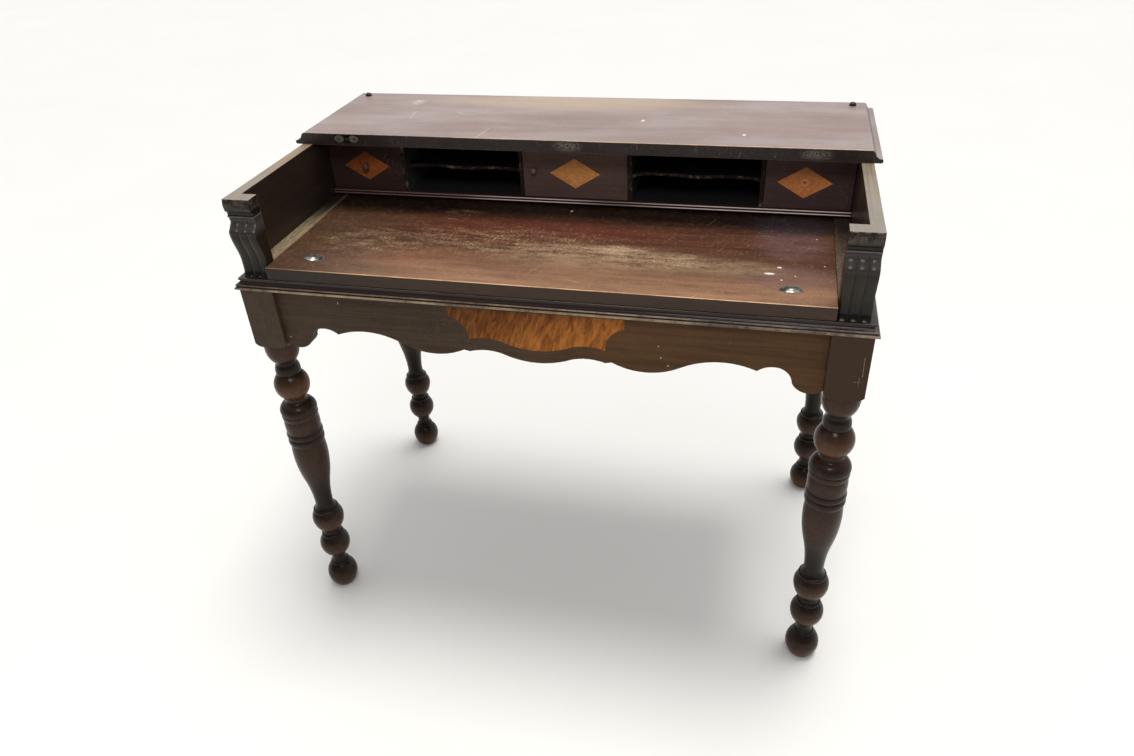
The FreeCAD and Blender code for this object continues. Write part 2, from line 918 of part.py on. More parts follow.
def drawer(name, side, diamond_shift, has_knob):
    """A gallery drawer: its front, sides and back stand on a bottom that is nailed on from below."""
    inner = drawer_start + drawer_side_clearance
    outer = arm_inner - drawer_side_clearance
    x0 = inner if side > 0 else -outer
    x1 = outer if side > 0 else -inner
    top = gallery_ceiling - drawer_top_clearance
    lining_top = top - drawer_lining_drop
    front_back = gallery_front + drawer_front_thickness
    floor_top = drawer_bottom + drawer_bottom_thickness
    left_face = x0 + drawer_lining_thickness
    right_face = x1 - drawer_lining_thickness
    back_face = drawer_back - drawer_lining_thickness
    diamond_x = side * drawer_middle + diamond_shift
    veneer = diamond(diamond_x, compartment_middle)
    spot = Vector(diamond_x, gallery_front, compartment_middle)
    turned_knob = stood(knob(knob_radius, knob_reach, knob_stem_radius, knob_stem_length), spot, -Y)
    screw_hole = Part.makeCylinder(knob_screw_radius, drawer_front_thickness, spot, Y)
    tool = turned_knob if has_knob else screw_hole
    front = board(x0, x1, gallery_front, front_back, drawer_bottom, top)
    pieces = {
        name + "_front": cut_all(front, [veneer, tool]),
        name + "_inlay": veneer.cut(tool),
        name + "_side_left": board(x0, left_face, front_back, drawer_back, floor_top, lining_top),
        name + "_side_right": board(right_face, x1, front_back, drawer_back, floor_top, lining_top),
        name + "_back": board(left_face, right_face, back_face, drawer_back, floor_top, lining_top),
        name + "_bottom": board(x0, x1, front_back, drawer_back, drawer_bottom, floor_top),
    }
    if has_knob:
        pieces[name + "_knob"] = turned_knob
    return pieces


def pivot_ends():
    """Door's lower and upper edge, each with the way its pivot pin points out of the door."""
    low = gallery_floor + door_clearance
    high = gallery_ceiling - door_clearance
    return ((low, -1), (high, 1))


def pivots(radius):
    """Pivot pins at the door's lower and upper edge, partly in the door and partly beyond it."""
    pins = []
    for level, way in pivot_ends():
        start = Vector(door_pivot_x, door_pivot_y, level - way * pivot_share_in_door * pivot_length)
        pins.append(Part.makeCylinder(radius, pivot_length, start, Z * way))
    return pins


def door():
    """Centre door that turns on pins near its right edge, which is half round about the pins."""
    (low, _), (high, _) = pivot_ends()
    back = gallery_front + door_thickness
    panel = board(-door_half, door_pivot_x + edge_round, gallery_front, back, low, high)
    panel = panel.common(box(-door_half, door_pivot_x, gallery_front, back, low, high))
    round_edge = Part.makeCylinder(
        door_thickness / 2, high - low, Vector(door_pivot_x, door_pivot_y, low),
    )
    panel = panel.fuse(round_edge).removeSplitter()
    veneer = diamond(0.0, compartment_middle)
    spot = Vector(door_knob_inset - door_half, gallery_front, compartment_middle + door_knob_rise)
    small_knob = knob(door_knob_radius, door_knob_reach, door_knob_stem_radius, door_knob_stem_length)
    small_knob = stood(small_knob, spot, -Y)
    pins = pivots(pivot_radius)
    return {
        "door_panel": cut_all(panel, [veneer, small_knob] + pins),
        "door_inlay": veneer,
        "door_knob": small_knob,
        "door_pivots": group(pins),
    }


# Top board and its fittings

def hinge_leaf(x):
    half = hinge_width / 2
    half_height = hinge_height / 2
    return box(
        x - half, x + half,
        top_front, top_front + hinge_thickness,
        hinge_middle_z - half_height, hinge_middle_z + half_height,
    )


def hinge_screws(x):
    spots = [Vector(x + share * hinge_width, top_front, hinge_middle_z) for share in hinge_screw_shares]
    return wood_screws(
        spots, Y,
        hinge_screw_head_radius, hinge_screw_head_height, hinge_screw_radius, hinge_screw_length,
    )


def bumper():
    """Button at the origin, standing on zero, with its stem below."""
    rim = bumper_height * (1 - bumper_dome_share)
    dome = turned([
        ("corner", bumper_radius, 0.0),
        ("corner", bumper_radius, rim),
        ("crown", 0.0, bumper_height),
    ])
    stem = Part.makeCylinder(bumper_stem_radius, bumper_stem_length, Vector(0, 0, -bumper_stem_length))
    return dome.fuse(stem).removeSplitter()


def top_screws():
    length = gallery_top_thickness + screw_bite
    spots = [
        Vector(x, gallery_front + share * gallery_depth, gallery_ceiling)
        for x in (-pigeonhole_middle, 0.0, pigeonhole_middle)
        for share in top_screw_row_shares
    ]
    return wood_screws(spots, Z, screw_head_radius, screw_head_height, screw_radius, length)


def top_board(tools):
    shape = (arm_top, top_mould_width, top_thickness, top_edge_start_shares, top_edge_shares)
    whole = moulded_ends(top_half, top_front, top_back, *shape)
    whole = whole.common(moulded_side(top_half, top_front, top_back, 1, *shape))
    return cut_all(whole, tools)


# Assembly

def frame_pieces():
    pins = dowels()
    apron, apron_veneer = front_apron_and_inlay(pins)
    blocks, block_screws, block_screw_holes = glue_blocks()
    pieces = {"apron_front": apron, "apron_inlay": apron_veneer}
    pieces.update(plain_aprons(pins))
    for depth, y in (("front", -leg_y), ("back", leg_y)):
        for side, x in (("left", -leg_x), ("right", leg_x)):
            placed = stood(leg(), Vector(x, y, 0), Z)
            pieces["leg_" + depth + "_" + side] = cut_all(placed, pins)
    pieces["apron_dowels"] = group(pins)
    pieces["glue_blocks"] = group(blocks)
    pieces["glue_block_screws"] = group(block_screws)
    pieces.update(base_pieces(block_screw_holes))
    for name, make in (("arm", arm), ("bracket", bracket), ("guide", guide)):
        pieces[name + "_right"] = make()
        pieces[name + "_left"] = mirrored(make())
    pieces["case_back"] = board(
        -arm_inner, arm_inner, case_back_face, case_back_reach, base_top, arm_top,
    )
    return pieces


def gallery_pieces():
    pivot_holes = pivots(pivot_radius + pivot_fit)
    _, screw_holes = top_screws()
    right_shelf = shelf()
    shelves = [right_shelf, mirrored(right_shelf)]
    return {
        "gallery_bottom": gallery_bottom(pivot_holes),
        "gallery_top": gallery_top(pivot_holes + screw_holes),
        "shelf_right": shelves[0],
        "shelf_left": shelves[1],
        "partition_left_outer": partition(-drawer_start, shelves),
        "partition_left_inner": partition(-pigeonhole_start, shelves),
        "partition_right_inner": partition(door_half_opening, shelves),
        "partition_right_outer": partition(pigeonhole_end, shelves),
    }


def top_pieces():
    leaf_screws, leaf_holes = hinge_screws(hinge_places[0])
    screws, screw_holes = top_screws()
    leaf = hinge_leaf(hinge_places[0])
    mortises = [hinge_leaf(x) for x in hinge_places]
    hinge_holes = [hole for x in hinge_places for hole in hinge_screws(x)[1]]
    bumpers = {
        "bumper_left": stood(bumper(), Vector(-bumper_x, bumper_y, top_face), Z),
        "bumper_right": stood(bumper(), Vector(bumper_x, bumper_y, top_face), Z),
    }
    tools = screw_holes + mortises + hinge_holes + list(bumpers.values())
    pieces = {
        "top_board": top_board(tools),
        "top_screws": group(screws),
        "hinge_leaf": cut_all(leaf, leaf_holes),
        "hinge_screws": group(leaf_screws),
    }
    pieces.update(bumpers)
    return pieces


def slide_pieces():
    right = tongue()
    tongues = [right, mirrored(right)]
    left_pull, right_pull = at_pulls(pull())
    return {
        "slide_board": slide_board(tongues),
        "slide_tongue_right": tongues[0],
        "slide_tongue_left": tongues[1],
        "pull_left": left_pull,
        "pull_right": right_pull,
    }


def all_pieces():
    pieces = frame_pieces()
    pieces.update(gallery_pieces())
    pieces.update(top_pieces())
    pieces.update(slide_pieces())
    pieces.update(drawer("drawer_left", -1, left_diamond_shift, True))
    pieces.update(drawer("drawer_right", 1, right_diamond_shift, False))
    pieces.update(door())
    return pieces


os.makedirs("parts", exist_ok=True)
for node, shape in all_pieces().items():
    shape.exportStep("parts/" + node + ".step")
    print(node, len(shape.Solids), shape.isValid(), round(shape.Volume))
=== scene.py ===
"""Looks of a spinet writing desk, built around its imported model. Lengths are in metres."""

import math

import bpy
from mathutils import Matrix, Vector


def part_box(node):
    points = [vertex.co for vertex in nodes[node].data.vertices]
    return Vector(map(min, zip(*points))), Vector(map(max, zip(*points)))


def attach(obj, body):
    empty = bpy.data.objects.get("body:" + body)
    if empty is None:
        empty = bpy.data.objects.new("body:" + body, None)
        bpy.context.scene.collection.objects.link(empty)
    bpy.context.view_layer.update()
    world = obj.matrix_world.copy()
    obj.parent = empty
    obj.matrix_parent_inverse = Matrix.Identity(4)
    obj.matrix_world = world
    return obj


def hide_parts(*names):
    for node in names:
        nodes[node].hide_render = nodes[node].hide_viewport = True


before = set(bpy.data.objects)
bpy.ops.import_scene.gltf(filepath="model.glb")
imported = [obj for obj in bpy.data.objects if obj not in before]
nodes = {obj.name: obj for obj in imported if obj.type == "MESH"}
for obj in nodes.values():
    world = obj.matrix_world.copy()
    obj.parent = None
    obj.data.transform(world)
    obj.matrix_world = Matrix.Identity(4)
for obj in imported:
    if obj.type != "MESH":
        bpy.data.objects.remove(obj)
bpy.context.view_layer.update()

X, Y, Z = 0, 1, 2

# Figure of the wood: lengths along and across the grain, and depths
streak_size = (0.160, 0.0040)
band_size = (0.450, 0.0220)
pore_size = (0.014, 0.0007)
cloud_size = 0.200
patch_size = 0.090
chatter_size = 0.011
streak_depth = 0.00010
pore_depth = 0.00010
scratch_depth = 0.00015

# Marks: length and width of scratches, hairs and specks, and the size of finer spots
scratch_size = (0.075, 0.0012)
hair_size = (0.016, 0.0011)
speck_size = (0.0034, 0.0015)
mottle_size = 0.0028
speckle_size = 0.0016
chip_size = 0.0020

# How far back from an edge the wear reaches
board_wear_reach = 0.0016
plain_wear_reach = 0.0012
arm_wear_reach = 0.0010
front_wear_reach = 0.0009
arris_reach = 0.0021

# Every finish looks at its own stretch of the noise, these steps away from the others
shift_counts = (17, 29, 41)
shift_steps = (1.37, 0.83, 0.59)

# Edges of a new mesh that turn by more than this stay hard
hard_edge_degrees = 38

# Colours


def tone(red, green, blue):
    """Linear colour of an sRGB colour with channels from 0 to 255."""
    def channel(value):
        share = value / 255
        return share / 12.92 if share <= 0.04045 else ((share + 0.055) / 1.055) ** 2.4
    return (channel(red), channel(green), channel(blue), 1.0)


WORN = tone(190, 146, 104)


# Node materials

class Shader:
    """A node material in the making: its colour, roughness and height so far, and tools to change
    them. A value is a socket, a number or a colour."""

    def __init__(self, name):
        self.material = bpy.data.materials.new(name)
        self.material.use_nodes = True
        self.nodes = self.material.node_tree.nodes
        self.links = self.material.node_tree.links
        self.surface = self.nodes["Principled BSDF"]
        self.place = self.nodes.new("ShaderNodeTexCoord").outputs["Object"]
        self.axes = self.split(self.place)
        total = sum((index + 1) * ord(letter) for index, letter in enumerate(name))
        self.offset = tuple(total % count * step for count, step in zip(shift_counts, shift_steps))
        self.colour = None
        self.roughness = 0.5
        self.height = None

    def feed(self, socket, value):
        if isinstance(value, bpy.types.NodeSocket):
            self.links.new(value, socket)
        else:
            socket.default_value = value

    def make(self, kind, inputs, **settings):
        node = self.nodes.new(kind)
        for key, value in settings.items():
            setattr(node, key, value)
        for key, value in inputs.items():
            self.feed(node.inputs[key], value)
        return node

    def split(self, vector):
        return list(self.make("ShaderNodeSeparateXYZ", {"Vector": vector}).outputs)

    def math(self, operation, a, b=0.0):
        return self.make("ShaderNodeMath", {0: a, 1: b}, operation=operation).outputs[0]

    def add(self, a, b):
        return self.math("ADD", a, b)

    def minus(self, a, b):
        return self.math("SUBTRACT", a, b)

    def times(self, a, b):
        return self.math("MULTIPLY", a, b)

    def least(self, a, b):
        return self.math("MINIMUM", a, b)

    def most(self, *values):
        result = values[0]
        for value in values[1:]:
            result = self.math("MAXIMUM", result, value)
        return result

    def away(self, a, b):
        return self.math("ABSOLUTE", self.minus(a, b))

    def ramp(self, value, low, high):
        """0 at low, 1 at high, smooth between. High may be under low."""
        node = self.make(
            "ShaderNodeMapRange",
            {"Value": value, "From Min": low, "From Max": high},
            interpolation_type="SMOOTHSTEP",
        )
        return node.outputs["Result"]

    def blend(self, factor, a, b):
        return self.make("ShaderNodeMix", {0: factor, 6: a, 7: b}, data_type="RGBA").outputs[2]

    def noise(self, size, detail=3.0, roughness=0.6, distortion=0.0, vector=None, turn=(0.0, 0.0, 0.0)):
        """Noise from 0 to 1 with features of this size, or of these sizes along the axes."""
        sizes = size if isinstance(size, (tuple, list)) else (size, size, size)
        turned = self.make("ShaderNodeMapping", {
            "Vector": vector or self.place, "Rotation": turn, "Location": self.offset,
        }).outputs["Vector"]
        scaled = self.make("ShaderNodeMapping", {
            "Vector": turned, "Scale": tuple(1 / length for length in sizes),
        }).outputs["Vector"]
        node = self.make("ShaderNodeTexNoise", {
            "Vector": scaled, "Scale": 1.0, "Detail": detail, "Roughness": roughness,
            "Distortion": distortion,
        })
        return node.outputs["Fac"]

    def grain(self, along, size, detail=6.0, distortion=0.4):
        """Streaks that run along an axis."""
        sizes = [size[1]] * 3
        sizes[along] = size[0]
        return self.noise(sizes, detail, 0.62, distortion)

    def lines(self, plane, turn, size, rarity):
        """Thin straight marks in the plane of two axes, 1 on a mark and 0 beside it."""
        first, second = plane
        flat = self.make("ShaderNodeCombineXYZ", {0: self.axes[first], 1: self.axes[second]}).outputs[0]
        waves = self.noise((*size, 1.0), 1.0, 0.5, 0.0, flat, (0.0, 0.0, turn))
        return self.ramp(waves, rarity, rarity + 0.06)

    def hairs(self, plane):
        """Short scratches that run every way."""
        return self.most(*[self.lines(plane, turn, hair_size, 0.68) for turn in (0.5, -0.9, 1.7)])

    def scratches(self, plane, *turns):
        return self.most(*[self.lines(plane, turn, scratch_size, 0.76) for turn in turns])

    def stroke(self, start, end, width, plane):
        """1 on the line between two points in the plane of two axes, 0 beside it."""
        run = Vector(end) - Vector(start)
        across = self.minus(self.axes[plane[0]], start[0])
        along = self.minus(self.axes[plane[1]], start[1])
        climbed = self.add(self.times(across, run.x), self.times(along, run.y))
        share = self.least(self.most(self.times(climbed, 1 / run.length_squared), 0.0), 1.0)
        across = self.minus(across, self.times(share, run.x))
        along = self.minus(along, self.times(share, run.y))
        far = self.math("SQRT", self.add(self.times(across, across), self.times(along, along)))
        return self.ramp(far, width, width / 4)

    def strokes(self, marks, width, plane):
        """Ragged scratches between pairs of points."""
        ragged = self.ramp(self.noise(chip_size, 3.0, 0.7), 0.40, 0.60)
        return self.times(self.most(*[self.stroke(*mark, width, plane) for mark in marks]), ragged)

    def patch(self, centre, reach, plane=(X, Y)):
        """1 at a point in the plane of two axes, falling to 0 at an ellipse round it."""
        across = self.times(self.minus(self.axes[plane[0]], centre[0]), 1 / reach[0])
        along = self.times(self.minus(self.axes[plane[1]], centre[1]), 1 / reach[1])
        return self.ramp(self.add(self.times(across, across), self.times(along, along)), 1.0, 0.0)

    def patches(self, spots, plane=(X, Y)):
        return self.most(*[self.patch(centre, reach, plane) for centre, reach in spots])

    def chips(self, spots, plane):
        """1 on small ragged chips of the finish."""
        ragged = self.times(self.noise(chip_size, 3.0, 0.7), 0.8)
        return self.ramp(self.add(self.patches(spots, plane), ragged), 0.70, 0.85)

    def upward(self):
        """1 on faces that look up, 0 on upright ones."""
        geometry = self.nodes.new("ShaderNodeNewGeometry")
        return self.ramp(self.split(geometry.outputs["Normal"])[Z], 0.5, 0.9)

    def arris(self, low, high):
        """Distance to the nearest edge of the box between two corners."""
        a, b, c = (
            self.least(self.minus(axis, least), self.minus(most, axis))
            for axis, least, most in zip(self.axes, low, high)
        )
        return self.most(self.least(a, b), self.least(self.most(a, b), c))

    def paint(self, mask, colour, amount=1.0):
        self.colour = self.blend(self.times(mask, amount), self.colour, colour)

    def shade(self, mask, amount):
        """Darkens by this amount where the mask is 1."""
        factor = self.add(self.times(mask, -amount), 1.0)
        node = self.make("ShaderNodeVectorMath", {0: self.colour, "Scale": factor}, operation="SCALE")
        self.colour = node.outputs[0]

    def dull(self, mask, amount):
        self.roughness = self.add(self.roughness, self.times(mask, amount))

    def emboss(self, mask, depth):
        rise = self.times(mask, depth)
        self.height = rise if self.height is None else self.add(self.height, rise)

    def wood(self, dark, light, along, gloss=0.40, contrast=0.14, relief=1.0):
        """Grain, pores and clouds of a board. A greater contrast range gives a softer figure."""
        streaks = self.grain(along, streak_size)
        bands = self.grain(along, band_size, 2.0, 0.8)
        pores = self.ramp(self.grain(along, pore_size, 2.0, 0.0), 0.60, 0.72)
        clouds = self.noise(cloud_size)
        figure = self.add(self.times(streaks, 0.6), self.times(bands, 0.4))
        self.colour = self.blend(self.ramp(figure, 0.5 - contrast, 0.5 + contrast), dark, light)
        self.shade(clouds, 0.35)
        self.shade(pores, 0.3)
        self.roughness = self.add(self.times(clouds, 0.2), gloss - 0.1)
        self.shade(self.noise(mottle_size, 2.0), 0.25)
        self.emboss(streaks, streak_depth * relief)
        self.emboss(pores, -pore_depth * relief)
        return streaks

    def rub_edges(self, name, colour, reach, amount=0.8):
        """Rubs a node's arrises pale, unevenly."""
        uneven = self.ramp(self.noise(patch_size, 4.0, 0.7), 0.35, 0.7)
        chatter = self.noise(chatter_size, 3.0, 0.7)
        far = self.times(self.add(self.times(uneven, chatter), 0.25), reach)
        mask = self.ramp(self.arris(*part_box(name)), far, 0.0)
        self.paint(mask, colour, amount)
        self.dull(mask, 0.15)

    def done(self, coat=0.0, coat_roughness=0.2, metallic=0.0, specular=0.3):
        self.feed(self.surface.inputs["Base Color"], self.colour)
        self.feed(self.surface.inputs["Roughness"], self.roughness)
        self.surface.inputs["Metallic"].default_value = metallic
        self.surface.inputs["Specular IOR Level"].default_value = specular
        self.surface.inputs["Coat Weight"].default_value = coat
        self.surface.inputs["Coat Roughness"].default_value = coat_roughness
        if self.height is not None:
            bump = self.make("ShaderNodeBump", {"Height": self.height, "Distance": 1.0, "Strength": 1.0})
            self.feed(self.surface.inputs["Normal"], bump.outputs["Normal"])
        return self.material


def dress(name, material):
    for slot in nodes[name].material_slots:
        slot.material = material


def add_piece(name, places, faces, body, slot, material, replaced):
    """New smooth mesh, sharp only at its hard edges, that stands for a node."""
    mesh = bpy.data.meshes.new(name)
    mesh.from_pydata(places, [], faces)
    mesh.polygons.foreach_set("use_smooth", [True] * len(mesh.polygons))
    mesh.set_sharp_from_angle(angle=math.radians(hard_edge_degrees))
    mesh.materials.append(material)
    piece = bpy.data.objects.new(name, mesh)
    bpy.context.scene.collection.objects.link(piece)
    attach(piece, body)
    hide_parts(replaced)


def board_material(name, dark, light, along, worn=WORN, reach=board_wear_reach, gloss=0.40, coat=0.1):
    """Stained and varnished board, rubbed along its edges."""
    s = Shader(name + "_finish")
    s.wood(dark, light, along, gloss, 0.24)
    s.rub_edges(name, worn, reach)
    return s.done(coat, specular=0.2)


# Writing slide: red-brown planks, scuffed along the middle, paler towards the front, with painted shadow
# towards the back and painted reflections on the right

plank_width = 0.102
plank_seam_place = -0.193

# Patches: centre and reach of each, across and along the slide
slide_scuffs = [
    ((-0.300, -0.140), (0.130, 0.070)),
    ((-0.080, -0.115), (0.260, 0.075)),
    ((0.110, -0.122), (0.070, 0.026)),
    ((0.160, -0.150), (0.140, 0.032)),
    ((-0.185, -0.006), (0.045, 0.016)),
]
slide_hazes = [((0.090, -0.152), (0.230, 0.055)), ((0.260, -0.158), (0.130, 0.036))]
slide_cores = [((0.105, -0.124), (0.065, 0.024)), ((0.205, -0.132), (0.035, 0.016))]
slide_reds = [((-0.060, -0.060), (0.300, 0.065)), ((-0.190, -0.200), (0.110, 0.035))]
# Painted reflections of the bright surroundings on the varnish, on the right
slide_painted_reflections = [((0.370, -0.060), (0.070, 0.080)), ((0.370, -0.190), (0.090, 0.060))]
# Painted reflection, blue-grey, at the back right
slide_painted_rear_reflection = [((0.370, 0.005), (0.085, 0.050))]
# Painted shadow at the back left, under the gallery
slide_painted_shadows = [((-0.310, 0.008), (0.150, 0.042))]
slide_flecks = [
    ((0.340, -0.170), (0.0085, 0.0034)),
    ((0.354, -0.148), (0.0040, 0.0026)),
    ((0.358, -0.188), (0.0016, 0.0016)),
    ((0.377, -0.173), (0.0015, 0.0014)),
    ((0.408, -0.042), (0.0015, 0.0015)),
    ((0.419, -0.136), (0.0014, 0.0014)),
    ((-0.002, 0.022), (0.0026, 0.0044)),
]

# Grain of the stains
slide_haze_size = (0.060, 0.012, 0.012)
slide_tint_size = (0.300, 0.028, 0.028)
slide_dust_size = (0.0060, 0.0022, 0.0022)

# Places that a finish fades between, along the depth or the width
# The painted shadow under the top's overhang deepens between these two places along the depth
slide_shadow_from = -0.045
slide_shadow_to = 0.014
slide_olive_left = (-0.180, -0.400)
slide_arris_left = (-0.440, -0.240)
slide_face_warm = (-0.800, 0.000)
slide_pale_from = -0.120
slide_pale_to = -0.250
slide_pale_left = (-0.440, -0.180)


def front_arris(s, name, faded):
    """1 on the upper front arris of a board, 0 a little way back and down from it. It fades to the left
    between two places."""
    low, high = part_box(name)
    back = s.ramp(s.minus(s.axes[Y], low.y), arris_reach, arris_reach / 3)
    down = s.ramp(s.minus(high.z, s.axes[Z]), arris_reach / 2, arris_reach / 6)
    uneven = s.add(s.times(s.ramp(s.noise(patch_size, 4.0, 0.8), 0.35, 0.6), 0.6), 0.4)
    kept = s.add(s.times(s.ramp(s.axes[X], *faded), 0.75), 0.25)
    return s.times(s.times(back, down), s.times(uneven, kept))


def slide_material():
    s = Shader("slide_board_finish")
    s.wood(tone(86, 54, 39), tone(132, 86, 61), X, 0.40, 0.20)
    up = s.upward()
    plank_place = s.times(s.minus(s.axes[Y], plank_seam_place), 1 / plank_width)
    plank = s.make("ShaderNodeTexWhiteNoise", {"W": s.math("FLOOR", plank_place)}, noise_dimensions="1D")
    s.shade(plank.outputs["Value"], 0.15)
    s.shade(s.ramp(s.away(s.math("FRACT", plank_place), 0.5), 0.485, 0.5), 0.3)
    tint = s.noise(slide_tint_size, 4.0, 0.6)
    s.paint(s.ramp(tint, 0.45, 0.70), tone(104, 44, 32), 0.35)
    s.paint(s.ramp(tint, 0.50, 0.25), tone(92, 68, 46), 0.45)
    s.paint(s.patches(slide_reds), tone(102, 40, 29), 0.52)
    # Painted reflection: pale mauve patches on the right
    s.paint(s.patches(slide_painted_reflections), tone(118, 90, 92), 0.5)
    haze = s.noise(slide_haze_size, 5.0, 0.7)
    dust = s.noise(slide_dust_size, 3.0, 0.75)
    pale = s.times(s.ramp(s.axes[Y], slide_pale_from, slide_pale_to), s.ramp(s.axes[X], *slide_pale_left))
    pale = s.times(pale, s.add(s.times(s.ramp(tint, 0.3, 0.65), 0.5), 0.5))
    s.paint(pale, tone(172, 126, 92), 0.8)
    s.shade(s.ramp(s.noise(speckle_size, 2.0, 0.7), 0.35, 0.65), 0.35)
    s.paint(s.ramp(s.axes[X], *slide_olive_left), tone(68, 50, 33), 0.55)
    # Painted shadow: darker towards the back under the top, and darker still at the back left
    s.shade(s.ramp(s.axes[Y], slide_shadow_from, slide_shadow_to), 0.80)
    s.shade(s.patches(slide_painted_shadows), 0.45)
    # Painted reflection: blue-grey patch at the back right, over the painted shadow
    s.paint(s.patches(slide_painted_rear_reflection), tone(62, 55, 64), 0.6)
    s.shade(s.ramp(haze, 0.55, 0.30), 0.3)
    streaked = s.add(s.times(s.ramp(haze, 0.35, 0.65), 0.5), s.times(s.ramp(dust, 0.35, 0.65), 0.5))
    s.paint(s.times(s.patches(slide_hazes), streaked), tone(176, 148, 116), 0.55)
    ragged = s.add(s.patches(slide_cores), s.times(s.minus(haze, 0.5), 1.2))
    s.paint(s.times(s.ramp(ragged, 0.10, 0.90), streaked), tone(196, 168, 132), 0.6)
    scuffed = s.times(s.patches(slide_scuffs), s.ramp(haze, 0.35, 0.60))
    rubbed = s.times(scuffed, s.ramp(dust, 0.42, 0.70))
    s.paint(rubbed, tone(186, 152, 108), 0.3)
    loose = s.add(s.times(scuffed, 0.14), 0.045)
    fine = s.noise((*speck_size, speck_size[1]), 3.0, 0.75)
    specks = s.ramp(s.add(fine, loose), 0.70, 0.80)
    hairs = s.times(s.hairs((X, Y)), s.add(s.times(scuffed, 0.8), 0.3))
    marks = s.times(s.most(specks, hairs, s.scratches((X, Y), 0.25, -1.1)), up)
    s.paint(marks, tone(222, 190, 146), 0.6)
    s.dull(s.most(marks, rubbed), 0.2)
    s.emboss(marks, -scratch_depth)
    for spot in slide_flecks:
        s.paint(s.times(s.ramp(s.patch(*spot), 0.05, 0.25), up), tone(230, 226, 218), 0.9)
    # Painted shade darkens the upright front face
    s.shade(s.minus(1.0, up), 0.84)
    s.paint(s.times(s.minus(1.0, up), s.ramp(s.axes[X], *slide_face_warm)), tone(60, 43, 31), 0.5)
    s.rub_edges("slide_board", tone(150, 112, 80), plain_wear_reach, 0.4)
    s.paint(front_arris(s, "slide_board", slide_arris_left), tone(232, 186, 140), 0.9)
    return s.done(0.15, 0.25, specular=0.2)


dress("slide_board", slide_material())


# Top: brown varnish under a pale bloom, with a rubbed front edge and a few scuffs; its pale tones and bloom
# are partly painted glare, a band of painted glare lies along the back, and painted shade darkens its front
# face

top_scuffs = [((-0.336, 0.196), (0.014, 0.022))]

# Scratches on the face, and ticks on the front edge: start and end of each
top_scratches = [
    ((-0.318, 0.139), (-0.313, 0.095)),
    ((-0.240, 0.145), (-0.224, 0.129)),
    ((-0.224, 0.129), (-0.201, 0.126)),
    ((-0.201, 0.126), (-0.181, 0.147)),
    ((-0.150, 0.053), (-0.157, 0.004)),
    ((0.232, 0.213), (0.266, 0.208)),
]
top_ticks = [
    ((0.116, 0.861), (0.116, 0.850)),
    ((0.280, 0.853), (0.278, 0.844)),
    ((0.333, 0.848), (0.333, 0.844)),
]
scratch_width = 0.0016
tick_width = 0.0010
top_specks = [((0.107, 0.117), (0.004, 0.006)), ((0.281, 0.056), (0.004, 0.006))]
# Painted glare: a pale yellowish band along the back
top_painted_glare = [((-0.040, 0.215), (0.330, 0.060))]
top_arris_left = (-0.330, -0.120)
top_bloom_and_glare_size = (0.240, 0.070, 0.070)
top_streak_size = (0.180, 0.012, 0.012)
mortise_reach = (0.030, 0.011)
hinge_low, hinge_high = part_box("hinge_leaf")
mortise_height = hinge_low.z + (hinge_high.z - hinge_low.z) / 2
mortise_side_place = -(hinge_low.x + hinge_high.x) / 2


def top_material():
    s = Shader("top_board_finish")
    s.wood(tone(146, 120, 108), tone(166, 140, 128), X, 0.36, 0.22, 0.5)
    up = s.upward()
    # Pale bloom, partly real and partly painted glare
    bloom_and_glare = s.ramp(s.noise(top_bloom_and_glare_size, 4.0, 0.6), 0.35, 0.75)
    s.paint(bloom_and_glare, tone(178, 168, 166), 0.4)
    # Painted glare along the back
    s.paint(s.patches(top_painted_glare), tone(192, 168, 136), 0.5)
    s.paint(s.ramp(s.noise(top_streak_size, 5.0, 0.7), 0.48, 0.72), tone(146, 108, 96), 0.3)
    scuffed = s.times(s.patches(top_scuffs), s.ramp(s.noise(speck_size[0], 4.0, 0.75), 0.42, 0.62))
    hairs = s.times(s.most(s.hairs((X, Y)), s.scratches((X, Y), 0.7)), 0.15)
    scratched = s.strokes(top_scratches, scratch_width, (X, Y))
    marks = s.times(s.most(scuffed, hairs, s.times(scratched, 0.7), s.chips(top_specks, (X, Y))), up)
    s.paint(marks, tone(228, 212, 188), 0.85)
    s.dull(marks, 0.15)
    s.emboss(marks, -scratch_depth)
    # Painted shade darkens the upright front face and makes it browner
    s.shade(s.minus(1.0, up), 0.895)
    s.paint(s.minus(1.0, up), tone(40, 27, 28), 0.3)
    mortises = [((place, mortise_height), mortise_reach) for place in (0.0, mortise_side_place)]
    bare = s.times(s.patches(mortises, (X, Z)), s.ramp(s.noise(speck_size[0], 4.0, 0.7), 0.30, 0.65))
    s.paint(s.times(bare, s.minus(1.0, up)), tone(128, 118, 108), 0.8)
    ticks = s.most(s.strokes(top_ticks, tick_width, (X, Z)), s.times(s.hairs((X, Z)), 0.4))
    s.paint(s.times(ticks, s.minus(1.0, up)), tone(150, 138, 126), 0.5)
    s.rub_edges("top_board", tone(150, 118, 92), plain_wear_reach, 0.5)
    s.paint(front_arris(s, "top_board", top_arris_left), tone(226, 194, 158), 0.9)
    return s.done(0.15, 0.25, specular=0.2)


dress("top_board", top_material())


# Legs: dark stain, darker where the turning is thin, with red-brown bands on the swells that are partly
# rubbed stain and partly painted bounce light from the floor

